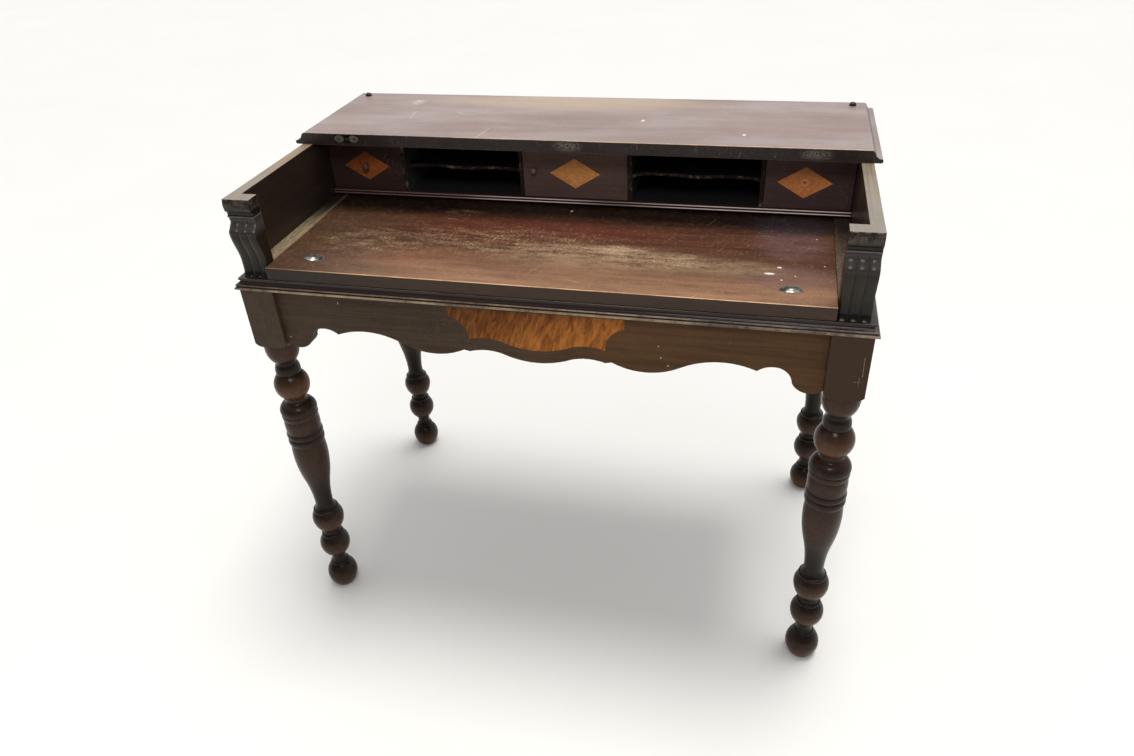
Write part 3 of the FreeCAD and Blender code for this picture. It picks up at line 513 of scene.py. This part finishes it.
# Middle and reach of each paler band, partly rubbed stain and partly painted bounce light, as shares of the
# turning's height, and how fully it shows
leg_rubbed_and_lit_band_shares = [
    (0.018, 0.060, 1.4), (0.165, 0.050, 1.0), (0.285, 0.050, 1.0), (0.560, 0.130, 0.45),
    (0.701, 0.030, 0.55), (0.739, 0.014, 0.5), (0.830, 0.070, 1.6), (0.970, 0.050, 0.7),
]
block_height = 0.108
block_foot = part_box("leg_front_left")[1].z - block_height
swell_radius = 0.026
hollow_radius = 0.016
band_waver_size = 0.050
band_waver_share = 0.02
block_scratches = [
    ((0.4796, 0.657), (0.4806, 0.626)),
    ((0.4700, 0.616), (0.4800, 0.617)),
    ((0.4765, 0.623), (0.4768, 0.610)),
]


def leg_material(name):
    low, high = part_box(name)
    middle = (low + high) / 2
    s = Shader(name + "_finish")
    streaks = s.wood(tone(44, 32, 25), tone(58, 43, 33), Z, 0.30, 0.34, 0.2)
    share = s.times(s.axes[Z], 1 / block_foot)
    share = s.add(share, s.times(s.minus(s.noise(band_waver_size, 2.0), 0.5), band_waver_share))
    bands = [
        s.times(s.ramp(s.times(s.away(share, centre), 1 / reach), 1.0, 0.0), fullness)
        for centre, reach, fullness in leg_rubbed_and_lit_band_shares
    ]
    # Paler bands: partly rubbed stain, partly painted bounce light from the floor on the lower swells
    rubbed = s.blend(s.ramp(streaks, 0.10, 0.90), tone(78, 51, 33), tone(98, 65, 41))
    uneven = s.add(s.times(s.noise(patch_size, 3.0), 0.7), 0.35)
    s.paint(s.times(s.most(*bands), uneven), rubbed, 0.85)
    x = s.minus(s.axes[X], middle.x)
    y = s.minus(s.axes[Y], middle.y)
    radius = s.math("SQRT", s.add(s.times(x, x), s.times(y, y)))
    s.shade(s.ramp(radius, swell_radius, hollow_radius), 0.5)
    block = s.ramp(s.axes[Z], block_foot - arris_reach, block_foot)
    s.paint(block, s.blend(s.ramp(streaks, 0.10, 0.90), tone(60, 46, 34), tone(76, 58, 42)))
    s.shade(s.ramp(s.noise(chatter_size, 5.0, 0.75), 0.40, 0.70), 0.3)
    if name == "leg_front_right":
        s.paint(block, tone(56, 36, 20), 0.9)
        s.paint(s.strokes(block_scratches, tick_width, (X, Z)), tone(160, 136, 108), 0.7)
    return s.done(0.18, 0.11, specular=0.08)


for depth in ("front", "back"):
    for side in ("left", "right"):
        leg_name = "leg_" + depth + "_" + side
        dress(leg_name, leg_material(leg_name))


# Aprons and base

apron_chips = [
    ((0.194, 0.622), (0.0014, 0.0024)),
    ((0.205, 0.609), (0.0024, 0.0016)),
    ((0.190, 0.642), (0.0012, 0.0020)),
    ((-0.425, 0.601), (0.0020, 0.0016)),
    ((-0.324, 0.673), (0.0010, 0.0034)),
]
apron_figure_size = (0.140, 0.140, 0.0070)
apron_warm_from = -0.10
apron_warm_to = 0.15


def apron_material(name, along):
    """Dull brown board, warmer to the right of the middle."""
    s = Shader(name + "_finish")
    s.wood(tone(88, 72, 58), tone(110, 90, 73), along, 0.5, 0.28, 0.5)
    s.paint(s.ramp(s.axes[X], apron_warm_from, apron_warm_to), tone(110, 74, 40), 0.6)
    s.shade(s.noise(patch_size, 5.0, 0.7), 0.35)
    s.shade(s.ramp(s.noise(apron_figure_size, 4.0, 0.7), 0.40, 0.70), 0.3)
    s.shade(s.ramp(s.noise(speckle_size, 2.0, 0.7), 0.35, 0.65), 0.2)
    marks = s.times(s.hairs((X, Z)), s.ramp(s.noise(patch_size), 0.5, 0.7))
    s.paint(marks, tone(140, 116, 92), 0.3)
    if name == "apron_front":
        s.paint(s.chips(apron_chips, (X, Z)), tone(200, 182, 158), 0.6)
    return s.done(specular=0.08)


for apron_name, axis in (("apron_front", X), ("apron_back", X), ("apron_left", Y), ("apron_right", Y)):
    dress(apron_name, apron_material(apron_name, axis))

dress("base_panel", board_material("base_panel", tone(52, 38, 28), tone(76, 54, 37), X))


moulding_painted_glint = ((0.120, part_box("base_moulding_front")[0].y), (0.420, 0.100))


def moulding_material(name, along):
    """Dark moulding with its reeds rubbed pale where they stand out most; on the upper reeds the pale lines
    also carry a painted glint, strongest near the middle.
    """
    low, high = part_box(name)
    panel_low, panel_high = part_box("base_panel")
    s = Shader(name + "_finish")
    s.wood(tone(44, 31, 29), tone(60, 43, 40), along, 0.30, 0.26, 0.2)
    out = s.most(
        s.minus(panel_low.y, s.axes[Y]), s.minus(s.math("ABSOLUTE", s.axes[X]), panel_high.x),
    )
    width = high.y - low.y if along == X else high.x - low.x
    out_share = s.times(out, 1 / width)
    up_share = s.times(s.minus(s.axes[Z], low.z), 1 / (high.z - low.z))
    lower = s.times(s.ramp(out_share, 0.91, 0.98), s.ramp(up_share, 0.33, 0.27))
    middle = s.times(s.ramp(out_share, 0.82, 0.865), s.ramp(up_share, 0.33, 0.38))
    top = s.times(s.ramp(up_share, 0.975, 1.0), s.ramp(out_share, 0.47, 0.53))
    # Painted glint: the upper reeds' pale lines are brightest near the middle
    bright = s.add(s.times(s.patch(*moulding_painted_glint), 0.5), 0.5)
    worn = s.most(lower, s.times(s.most(middle, top), bright))
    uneven = s.add(s.times(s.ramp(s.noise(patch_size, 5.0, 0.75), 0.35, 0.65), 0.6), 0.2)
    uneven = s.add(uneven, s.times(s.minus(s.noise(chatter_size, 3.0, 0.7), 0.5), 0.9))
    s.paint(s.times(worn, s.most(uneven, 0.0)), tone(172, 150, 120))
    return s.done(0.3, 0.15, specular=0.12)


for moulding_name, axis in (
    ("base_moulding_front", X), ("base_moulding_left", Y), ("base_moulding_right", Y),
):
    dress(moulding_name, moulding_material(moulding_name, axis))


# Arms: near-black stain, bare on top

stain_size = 0.045
bare_depth = 0.0015
grey_from = -0.060
grey_to = -0.200


def bare_top(s, name, along, dark, pale):
    """Bare wood on the level faces at a node's top."""
    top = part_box(name)[1].z
    streaks = s.grain(along, streak_size)
    bare = s.blend(s.ramp(streaks, 0.25, 0.75), dark, pale)
    stains = s.ramp(s.noise(stain_size, 4.0, 0.65), 0.45, 0.75)
    bare = s.blend(s.times(stains, 0.45), bare, tone(98, 82, 64))
    bare = s.blend(s.times(s.ramp(s.axes[Y], grey_from, grey_to), 0.6), bare, tone(138, 132, 122))
    mask = s.times(s.ramp(s.axes[Z], top - bare_depth, top - bare_depth / 3), s.upward())
    s.paint(mask, bare)
    s.dull(mask, 0.15)


def arm_material(name, dark, pale):
    s = Shader(name + "_finish")
    s.wood(tone(44, 34, 28), tone(62, 48, 39), Y, 0.36, 0.24, 0.5)
    if name == "arm_right":
        s.paint(s.ramp(s.noise(patch_size, 4.0), 0.25, 0.75), tone(84, 68, 54), 0.7)
    knocked = s.ramp(s.noise(stain_size, 2.0), 0.52, 0.66)
    hairs = s.times(s.hairs((Y, Z)), knocked)
    s.paint(s.most(hairs, s.scratches((Y, Z), 0.6, -0.8)), tone(132, 106, 84), 0.4)
    s.rub_edges(name, tone(98, 78, 58), arm_wear_reach, 0.6)
    bare_top(s, name, Y, dark, pale)
    return s.done(0.1, specular=0.2)


# Brackets: a moulded cap over a reeded S-shaped corbel, modelled here with the reeds' full roundness

reed_count = 3
reed_depth = 0.0021
reed_flatness = 1.6
columns_per_reed = 18
bracket_low, bracket_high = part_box("bracket_right")
bracket_size = bracket_high - bracket_low

# Places up the bracket's face, as shares of its depth and height
foot_share = (0.800, 0.000)
waist_foot_share = (0.640, 0.090)
waist_share = (0.640, 0.190)
belly_share = (1.000, 0.590)
neck_share = (0.640, 0.725)
bead_share = (0.640, 0.778)
bead_reach_shares = (0.075, 0.014)
cap_foot_share = (0.775, 0.850)
cap_head_share = (0.812, 0.988)
cap_bulge_share = 0.055
cap_top_share = (0.770, 1.000)

# Finishes up the bracket, among them a painted sheen on the shoulder: the height each is round, and where
# it fades, as shares of the height
brown_share = 0.35
brown_fade_shares = (0.28, 0.10)
painted_sheen_share = 0.68
painted_sheen_fade_shares = (0.16, 0.01)
cap_fade_shares = (0.85, 0.89)


def between(start, end, bend, count, carved):
    """Points from start towards end: shares of depth and height, and how fully the reeds are cut.
    The bend turns the share of the height climbed into the share of the depth crossed."""
    points = []
    for step in range(count):
        t = step / count
        out = start[0] + (end[0] - start[0]) * bend(t)
        points.append((out, start[1] + (end[1] - start[1]) * t, carved))
    return points


def bracket_profile():
    """Points up the face, from the foot's edge to the cap's flat top."""
    def flare(t):
        return 1 - (1 - t) ** 2

    def wave(t):
        return t * t * (3 - 2 * t)

    def shoulder(t):
        return (1 - math.cos(math.pi * t)) / 2

    def cove(t):
        return 1 - math.sqrt(1 - t * t)

    points = between(foot_share, waist_foot_share, flare, 10, 1.0)
    points += between(waist_foot_share, waist_share, wave, 4, 1.0)
    points += between(waist_share, belly_share, wave, 20, 1.0)
    points += between(belly_share, neck_share, shoulder, 18, 1.0)
    bead_foot = (bead_share[0], bead_share[1] - bead_reach_shares[1])
    bead_head = (bead_share[0], bead_share[1] + bead_reach_shares[1])
    points += between(neck_share, bead_foot, wave, 4, 0.5)
    for step in range(9):
        angle = math.pi * (step / 8 - 0.5)
        out = bead_share[0] + bead_reach_shares[0] * math.cos(angle)
        points.append((out, bead_share[1] + bead_reach_shares[1] * math.sin(angle), 0.0))
    points += between(bead_head, cap_foot_share, cove, 14, 0.0)[1:]
    for step in range(11):
        t = step / 10
        out = cap_foot_share[0] + (cap_head_share[0] - cap_foot_share[0]) * t
        bulge = cap_bulge_share * 4 * t * (1 - t)
        up = cap_foot_share[1] + (cap_head_share[1] - cap_foot_share[1]) * t
        points.append((out + bulge, up, 0.5 * t))
    points.append((*cap_top_share, 0.0))
    return points


def bracket_mesh(side):
    """Corners and faces of the bracket on one side, -1 for left and 1 for right."""
    profile = [
        (out * bracket_size.y, up * bracket_size.z, carved) for out, up, carved in bracket_profile()
    ]
    columns = reed_count * columns_per_reed
    places = []
    for column in range(columns + 1):
        across = column / columns
        valley = reed_depth * (1 - abs(math.sin(math.pi * reed_count * across))) ** reed_flatness
        x = side * (bracket_low.x + across * bracket_size.x)
        for index, (out, up, carved) in enumerate(profile):
            before = profile[max(index - 1, 0)]
            after = profile[min(index + 1, len(profile) - 1)]
            run = Vector((after[0] - before[0], after[1] - before[1])).normalized()
            out -= run.y * valley * carved
            up += run.x * valley * carved
            places.append((x, bracket_high.y - out, bracket_low.z + max(up, 0.0)))
        places.append((x, bracket_high.y, bracket_high.z))
        places.append((x, bracket_high.y, bracket_low.z))
    ring = len(profile) + 2
    faces = []
    for column in range(columns):
        for index in range(ring):
            after = (index + 1) % ring
            a, b = column * ring + index, column * ring + after
            face = (a, b, b + ring, a + ring)
            faces.append(face if side < 0 else face[::-1])
    first = tuple(range(ring))
    last = tuple(columns * ring + index for index in range(ring))
    faces.append(first[::-1] if side < 0 else first)
    faces.append(last if side < 0 else last[::-1])
    return places, faces


def bracket_material(name, dark, pale):
    """Glossy black stain, browner low down and on the cap, with a painted sheen on the shoulder and a
    painted highlight along the bead.
    """
    s = Shader(name + "_finish")
    s.wood(tone(22, 18, 14), tone(30, 25, 19), Z, 0.34, 0.34, 0.2)
    up_share = s.times(s.minus(s.axes[Z], bracket_low.z), 1 / bracket_size.z)
    s.paint(s.ramp(s.away(up_share, brown_share), *brown_fade_shares), tone(38, 30, 17), 0.8)
    # Painted sheen on the shoulder below the bead
    s.paint(s.ramp(s.away(up_share, painted_sheen_share), *painted_sheen_fade_shares), tone(84, 78, 74), 0.55)
    cap = s.times(s.ramp(up_share, *cap_fade_shares), s.ramp(s.noise(chatter_size, 4.0, 0.7), 0.35, 0.65))
    s.paint(cap, tone(92, 79, 70), 0.6)
    # Painted highlight along the bead
    s.paint(s.ramp(s.away(up_share, bead_share[1]), bead_reach_shares[1], 0.0), tone(112, 104, 100), 0.7)
    s.rub_edges(name, tone(128, 100, 74), plain_wear_reach, 0.5)
    bare_top(s, name, Y, dark, pale)
    return s.done(0.34, 0.20, specular=0.05)


for side_name, side, bare_dark, bare_pale in (
    ("left", -1, tone(122, 103, 82), tone(160, 137, 110)),
    ("right", 1, tone(118, 104, 87), tone(150, 134, 114)),
):
    arm_name = "arm_" + side_name
    dress(arm_name, arm_material(arm_name, bare_dark, bare_pale))
    node = "bracket_" + side_name
    finish = bracket_material(node, bare_dark, bare_pale)
    add_piece("reeded_" + node, *bracket_mesh(side), "frame", "bracket_finish", finish, node)


# Guides: bare wood, grey with handling on the left, browner on the right, darkened towards the back by
# painted shadow

guide_stain_size = (0.006, 0.018, 0.006)
guide_shadow_from = -0.130
guide_shadow_to = -0.010
guide_groove_places = (-0.4385, -0.4420)
guide_groove_width = 0.0009


def guide_material(name, dark, pale, back_shadow):
    s = Shader(name + "_finish")
    s.wood(dark, pale, Y, 0.6, 0.24)
    s.paint(s.ramp(s.noise(guide_stain_size, 4.0, 0.65), 0.42, 0.66), tone(70, 55, 42), 0.6)
    marks = s.most(s.hairs((X, Y)), s.scratches((X, Y), 1.2))
    s.paint(marks, tone(200, 182, 146), 0.6)
    s.emboss(marks, -scratch_depth)
    # Painted shadow: darker towards the back, under the top
    s.shade(s.ramp(s.axes[Y], guide_shadow_from, guide_shadow_to), back_shadow)
    rubs = [s.ramp(s.away(s.axes[X], place), guide_groove_width, 0.0) for place in guide_groove_places]
    s.paint(s.times(s.most(*rubs), s.upward()), tone(190, 136, 104), 0.6)
    return s.done()


dress("guide_left", guide_material("guide_left", tone(124, 106, 78), tone(170, 149, 115), 0.92))
dress("guide_right", guide_material("guide_right", tone(92, 72, 58), tone(122, 98, 80), 0.55))


# Gallery, drawers and door

gallery_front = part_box("gallery_bottom")[0].y
gallery_lip = 0.012
bead_line_width = 0.0010
# Painted glints on the bead's lines, and where those painted highlight lines dim to the left
bead_painted_glints = [((-0.080, 0.738), (0.140, 0.060)), ((0.330, 0.738), (0.270, 0.060))]
bead_highlight_dim_left = (-0.120, -0.420)


def gallery_material(name, rub):
    """Black inside, with a front edge that is rubbed in places."""
    s = Shader(name + "_finish")
    s.wood(tone(64, 62, 62), tone(80, 77, 77), X, 0.5, 0.26)
    if name.startswith("shelf"):
        front = s.minus(1.0, s.upward())
    else:
        front = s.ramp(s.minus(s.axes[Y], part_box(name)[0].y), bead_line_width, 0.0)
    s.paint(front, tone(44, 35, 30))
    rubbed = s.ramp(s.noise(stain_size, 5.0, 0.8), 0.50, 0.70)
    s.paint(s.times(front, rubbed), tone(176, 160, 142), rub)
    return s.done(specular=0.1)


def gallery_bottom_material():
    """Black shelf behind a glossy maroon double bead, with painted highlight lines, partly rubbed, along
    its crests.
    """
    low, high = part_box("gallery_bottom")
    bead = (high.z - low.z) / 2
    s = Shader("gallery_bottom_finish")
    s.wood(tone(62, 42, 37), tone(84, 58, 51), X, 0.28, 0.26, 0.3)
    # Painted highlights along the beads, partly rubbed crests
    rubbed_crest_highlights = [
        s.ramp(s.away(s.axes[Z], low.z + bead * share), bead_line_width, bead_line_width / 4)
        for share in (0.70, 1.70)
    ]
    uneven = s.add(s.times(s.noise(patch_size, 4.0, 0.7), 0.8), 0.2)
    uneven = s.times(uneven, s.minus(1.0, s.times(s.ramp(s.axes[X], *bead_highlight_dim_left), 0.6)))
    s.paint(s.times(s.most(*rubbed_crest_highlights), uneven), tone(206, 168, 152), 0.9)
    # Painted glints on the bead's lines
    s.paint(s.times(s.most(*rubbed_crest_highlights), s.patches(bead_painted_glints, (X, Z))), tone(255, 232, 224), 0.8)
    lip_back = gallery_front + gallery_lip
    s.paint(s.ramp(s.axes[Y], gallery_front + gallery_lip / 2, lip_back), tone(42, 41, 43))
    return s.done(0.4, 0.2)


for dark_name in (
    "gallery_top",
    "partition_left_outer", "partition_left_inner", "partition_right_inner", "partition_right_outer",
):
    dress(dark_name, gallery_material(dark_name, 0.5))
for shelf_name in ("shelf_left", "shelf_right"):
    dress(shelf_name, gallery_material(shelf_name, 0.9))
dress("gallery_bottom", gallery_bottom_material())
dress("case_back", board_material("case_back", tone(66, 50, 39), tone(88, 68, 53), X, gloss=0.5, coat=0.0))


def front_material(name, dark, pale):
    """Maroon front with a few knocks."""
    s = Shader(name + "_finish")
    s.wood(dark, pale, X, 0.38, 0.30)
    knocks = s.times(s.hairs((X, Z)), s.ramp(s.noise(stain_size, 2.0), 0.50, 0.65))
    s.paint(knocks, tone(150, 126, 112), 0.5)
    s.rub_edges(name, tone(132, 104, 88), front_wear_reach)
    return s.done(0.1, specular=0.2)


for front_name, dark, pale in (
    ("drawer_left_front", tone(62, 44, 40), tone(76, 55, 50)),
    ("door_panel", tone(100, 80, 72), tone(118, 95, 86)),
    ("drawer_right_front", tone(86, 66, 63), tone(104, 81, 77)),
):
    dress(front_name, front_material(front_name, dark, pale))

flame_size = (0.0075, 0.0300)
burl_size = (0.0030, 0.0075)
veneer_cloud_size = 0.020


def veneer_material(name, dark, pale, slant, size, shadow):
    """Orange figured veneer. Its streaks run up on a slant, and it darkens to the upper left."""
    low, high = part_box(name)
    s = Shader(name + "_finish")
    flame = s.noise((size[0], size[0], size[1]), 5.0, 0.62, 0.8, None, (0.0, slant, 0.0))
    clouds = s.noise(veneer_cloud_size, 4.0)
    s.colour = s.blend(s.ramp(flame, 0.28, 0.72), dark, pale)
    s.shade(clouds, 0.4)
    pores = s.ramp(s.grain(Z, pore_size, 2.0, 0.0), 0.6, 0.72)
    s.shade(pores, 0.25)
    across = s.times(s.minus(s.axes[X], low.x), 1 / (high.x - low.x))
    upright = s.times(s.minus(s.axes[Z], low.z), 1 / (high.z - low.z))
    s.shade(s.ramp(s.minus(s.times(upright, 0.6), across), -0.6, 0.3), shadow)
    s.roughness = s.add(s.times(clouds, 0.2), 0.3)
    s.emboss(flame, streak_depth / 2)
    return s


knob_mark_reach = 0.0075


def knob_mark(s, name):
    """Pale ring that a lost knob left round its screw hole."""
    low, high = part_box(name)
    centre = ((low.x + high.x) / 2, (low.z + high.z) / 2)
    spot = s.patch(centre, (knob_mark_reach, knob_mark_reach), (X, Z))
    s.paint(s.ramp(s.away(spot, 0.55), 0.22, 0.08), tone(248, 206, 156), 0.6)


apron_veneer = veneer_material(
    "apron_inlay", tone(120, 66, 26), tone(198, 122, 54), -0.30, flame_size, 0.5,
)
dress("apron_inlay", apron_veneer.done(specular=0.08))
# The diamonds' tones are partly painted light and shade: the left one kept darker, the door's and the right
# drawer's made paler
left_veneer = veneer_material(
    "drawer_left_inlay", tone(150, 76, 38), tone(204, 116, 60), 0.7, burl_size, 0.35,
)
dress("drawer_left_inlay", left_veneer.done(0.1, specular=0.2))
door_veneer = veneer_material(
    "door_inlay", tone(242, 140, 70), tone(255, 192, 118), 1.3, burl_size, 0.1,
)
dress("door_inlay", door_veneer.done(0.1, specular=0.2))
right_veneer = veneer_material(
    "drawer_right_inlay", tone(242, 130, 64), tone(254, 178, 112), -0.6, burl_size, 0.1,
)
knob_mark(right_veneer, "drawer_right_inlay")
dress("drawer_right_inlay", right_veneer.done(0.1, specular=0.2))

dress("drawer_left_knob", board_material("drawer_left_knob", tone(92, 64, 50), tone(120, 88, 70), Y))
dress("door_knob", board_material("door_knob", tone(112, 92, 84), tone(140, 118, 108), Y, coat=0.3))


# Unfinished wood inside

for raw_name in (
    "apron_dowels", "glue_blocks", "slide_tongue_left", "slide_tongue_right",
    "drawer_left_side_left", "drawer_left_side_right", "drawer_left_back", "drawer_left_bottom",
    "drawer_right_side_left", "drawer_right_side_right", "drawer_right_back", "drawer_right_bottom",
):
    dress(raw_name, board_material(
        raw_name, tone(118, 88, 58), tone(162, 128, 88), Y, tone(184, 154, 112), plain_wear_reach, 0.6, 0.0,
    ))


# Metal and rubber

metal_cloud_size = 0.012
metal_grit_size = 0.0012
metal_grit_depth = 0.000004
rust_size = 0.006
rust_depth = 0.00006
rubber_cloud_size = 0.004
rubber_grit_depth = 0.00004


def metal_material(name, bright, tarnish, roughness):
    s = Shader(name)
    clouds = s.noise(metal_cloud_size, 4.0, 0.65)
    s.colour = s.blend(s.ramp(clouds, 0.40, 0.75), bright, tarnish)
    s.roughness = s.add(s.times(clouds, 0.2), roughness - 0.1)
    s.emboss(s.noise(metal_grit_size, 2.0), metal_grit_depth)
    return s.done(metallic=1.0)


nickel = metal_material("nickel", tone(190, 186, 176), tone(126, 118, 104), 0.32)
steel = metal_material("steel", tone(140, 136, 128), tone(84, 74, 62), 0.42)
for metal_name in ("pull_left", "pull_right"):
    dress(metal_name, nickel)
for metal_name in ("glue_block_screws", "top_screws", "hinge_screws", "door_pivots"):
    dress(metal_name, steel)


# Painted highlights at the leaf's ends: their places and reach as shares of its size
hinge_glint_share = 0.30
hinge_glint_reach_shares = (0.26, 0.62)


def hinge_material():
    """Leaf bright at both ends, as painted highlights where its knuckles would shine, and brown with rust
    between.
    """
    low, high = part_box("hinge_leaf")
    s = Shader("hinge_leaf_finish")
    middle = (low + high) / 2
    size = high - low
    reach = (size.x * hinge_glint_reach_shares[0], size.z * hinge_glint_reach_shares[1])
    ends = [((middle.x + side * size.x * hinge_glint_share, middle.z), reach) for side in (-1, 1)]
    stains = s.noise(rust_size, 4.0, 0.7)
    # Painted highlights at both ends, broken by rust
    bright = s.ramp(s.add(s.patches(ends, (X, Z)), s.times(stains, 0.5)), 0.40, 0.80)
    s.colour = s.blend(bright, tone(48, 42, 38), tone(176, 172, 166))
    s.roughness = s.add(s.times(stains, 0.3), 0.2)
    s.emboss(stains, rust_depth)
    return s.done(metallic=1.0)


dress("hinge_leaf", hinge_material())


def rubber_material():
    s = Shader("black_rubber")
    clouds = s.noise(rubber_cloud_size)
    s.colour = s.blend(clouds, tone(14, 14, 15), tone(30, 30, 31))
    s.roughness = s.add(s.times(clouds, 0.25), 0.15)
    s.emboss(clouds, rubber_grit_depth)
    return s.done()


rubber = rubber_material()
for bumper_name in ("bumper_left", "bumper_right"):
    dress(bumper_name, rubber)


# Floor, light and camera

floor_half = 9.0
floor_cloud_size = 0.7
overhead_spot = (0.25, 0.30, 2.9)
overhead_energy = 2.1
overhead_spread_degrees = 26
front_spot = (0.35, -1.75, 2.5)
front_size = (0.9, 0.6)
front_energy = 16.0
light_target = (0.0, 0.0, 0.7)

# Surroundings: how far forwards and back they fade, and their strength at both ends
surround_fade_shares = (-0.8, 0.3)
surround_strengths = (0.22, 0.95)

# Camera: its spot, and its azimuth, elevation and roll
camera_spot = (0.3344, -1.3184, 1.3059)
camera_degrees = (-15.11, -33.75, -3.19)
sensor_width_mm = 36.0
lens_mm = 26.85


def floor():
    mesh = bpy.data.meshes.new("floor")
    corners = [(x * floor_half, y * floor_half, 0.0) for x, y in ((-1, -1), (1, -1), (1, 1), (-1, 1))]
    mesh.from_pydata(corners, [], [(0, 1, 2, 3)])
    piece = bpy.data.objects.new("floor", mesh)
    bpy.context.scene.collection.objects.link(piece)
    s = Shader("floor")
    s.colour = s.blend(s.noise(floor_cloud_size), tone(226, 223, 216), tone(232, 229, 223))
    s.roughness = 0.6
    mesh.materials.append(s.done())


def add_light(name, kind, spot, energy):
    data = bpy.data.lights.new(name, kind)
    data.energy = energy
    light = bpy.data.objects.new(name, data)
    light.location = spot
    light.rotation_euler = (Vector(light_target) - Vector(spot)).to_track_quat("-Z", "Y").to_euler()
    bpy.context.scene.collection.objects.link(light)
    return data


def studio():
    """White surroundings at the back and sides, dimmer in front, with a soft sun from above and a
    small panel of light in front."""
    world = bpy.data.worlds.new("studio")
    bpy.context.scene.world = world
    world.use_nodes = True
    tree = world.node_tree
    background = tree.nodes["Background"]
    background.inputs["Color"].default_value = tone(240, 243, 248)
    place = tree.nodes.new("ShaderNodeTexCoord")
    split = tree.nodes.new("ShaderNodeSeparateXYZ")
    fade = tree.nodes.new("ShaderNodeMapRange")
    fade.inputs["From Min"].default_value, fade.inputs["From Max"].default_value = surround_fade_shares
    fade.inputs["To Min"].default_value, fade.inputs["To Max"].default_value = surround_strengths
    tree.links.new(place.outputs["Generated"], split.inputs["Vector"])
    tree.links.new(split.outputs["Y"], fade.inputs["Value"])
    tree.links.new(fade.outputs["Result"], background.inputs["Strength"])
    overhead = add_light("overhead", "SUN", overhead_spot, overhead_energy)
    overhead.angle = math.radians(overhead_spread_degrees)
    front = add_light("front", "AREA", front_spot, front_energy)
    front.shape = "RECTANGLE"
    front.size, front.size_y = front_size
    bpy.context.scene.view_settings.view_transform = "Standard"


def camera():
    azimuth, elevation, roll = (math.radians(angle) for angle in camera_degrees)
    ahead = Vector((
        math.sin(azimuth) * math.cos(elevation),
        math.cos(azimuth) * math.cos(elevation),
        math.sin(elevation),
    ))
    level = ahead.cross(Vector((0.0, 0.0, 1.0))).normalized()
    upward = level.cross(ahead)
    right = math.cos(roll) * level + math.sin(roll) * upward
    up = math.cos(roll) * upward - math.sin(roll) * level
    data = bpy.data.cameras.new("camera")
    data.sensor_fit = "HORIZONTAL"
    data.sensor_width = sensor_width_mm
    data.lens = lens_mm
    piece = bpy.data.objects.new("camera", data)
    turn = Matrix((right, up, -ahead)).transposed().to_4x4()
    piece.matrix_world = Matrix.Translation(Vector(camera_spot)) @ turn
    bpy.context.scene.collection.objects.link(piece)
    bpy.context.scene.camera = piece


floor()
studio()
camera()
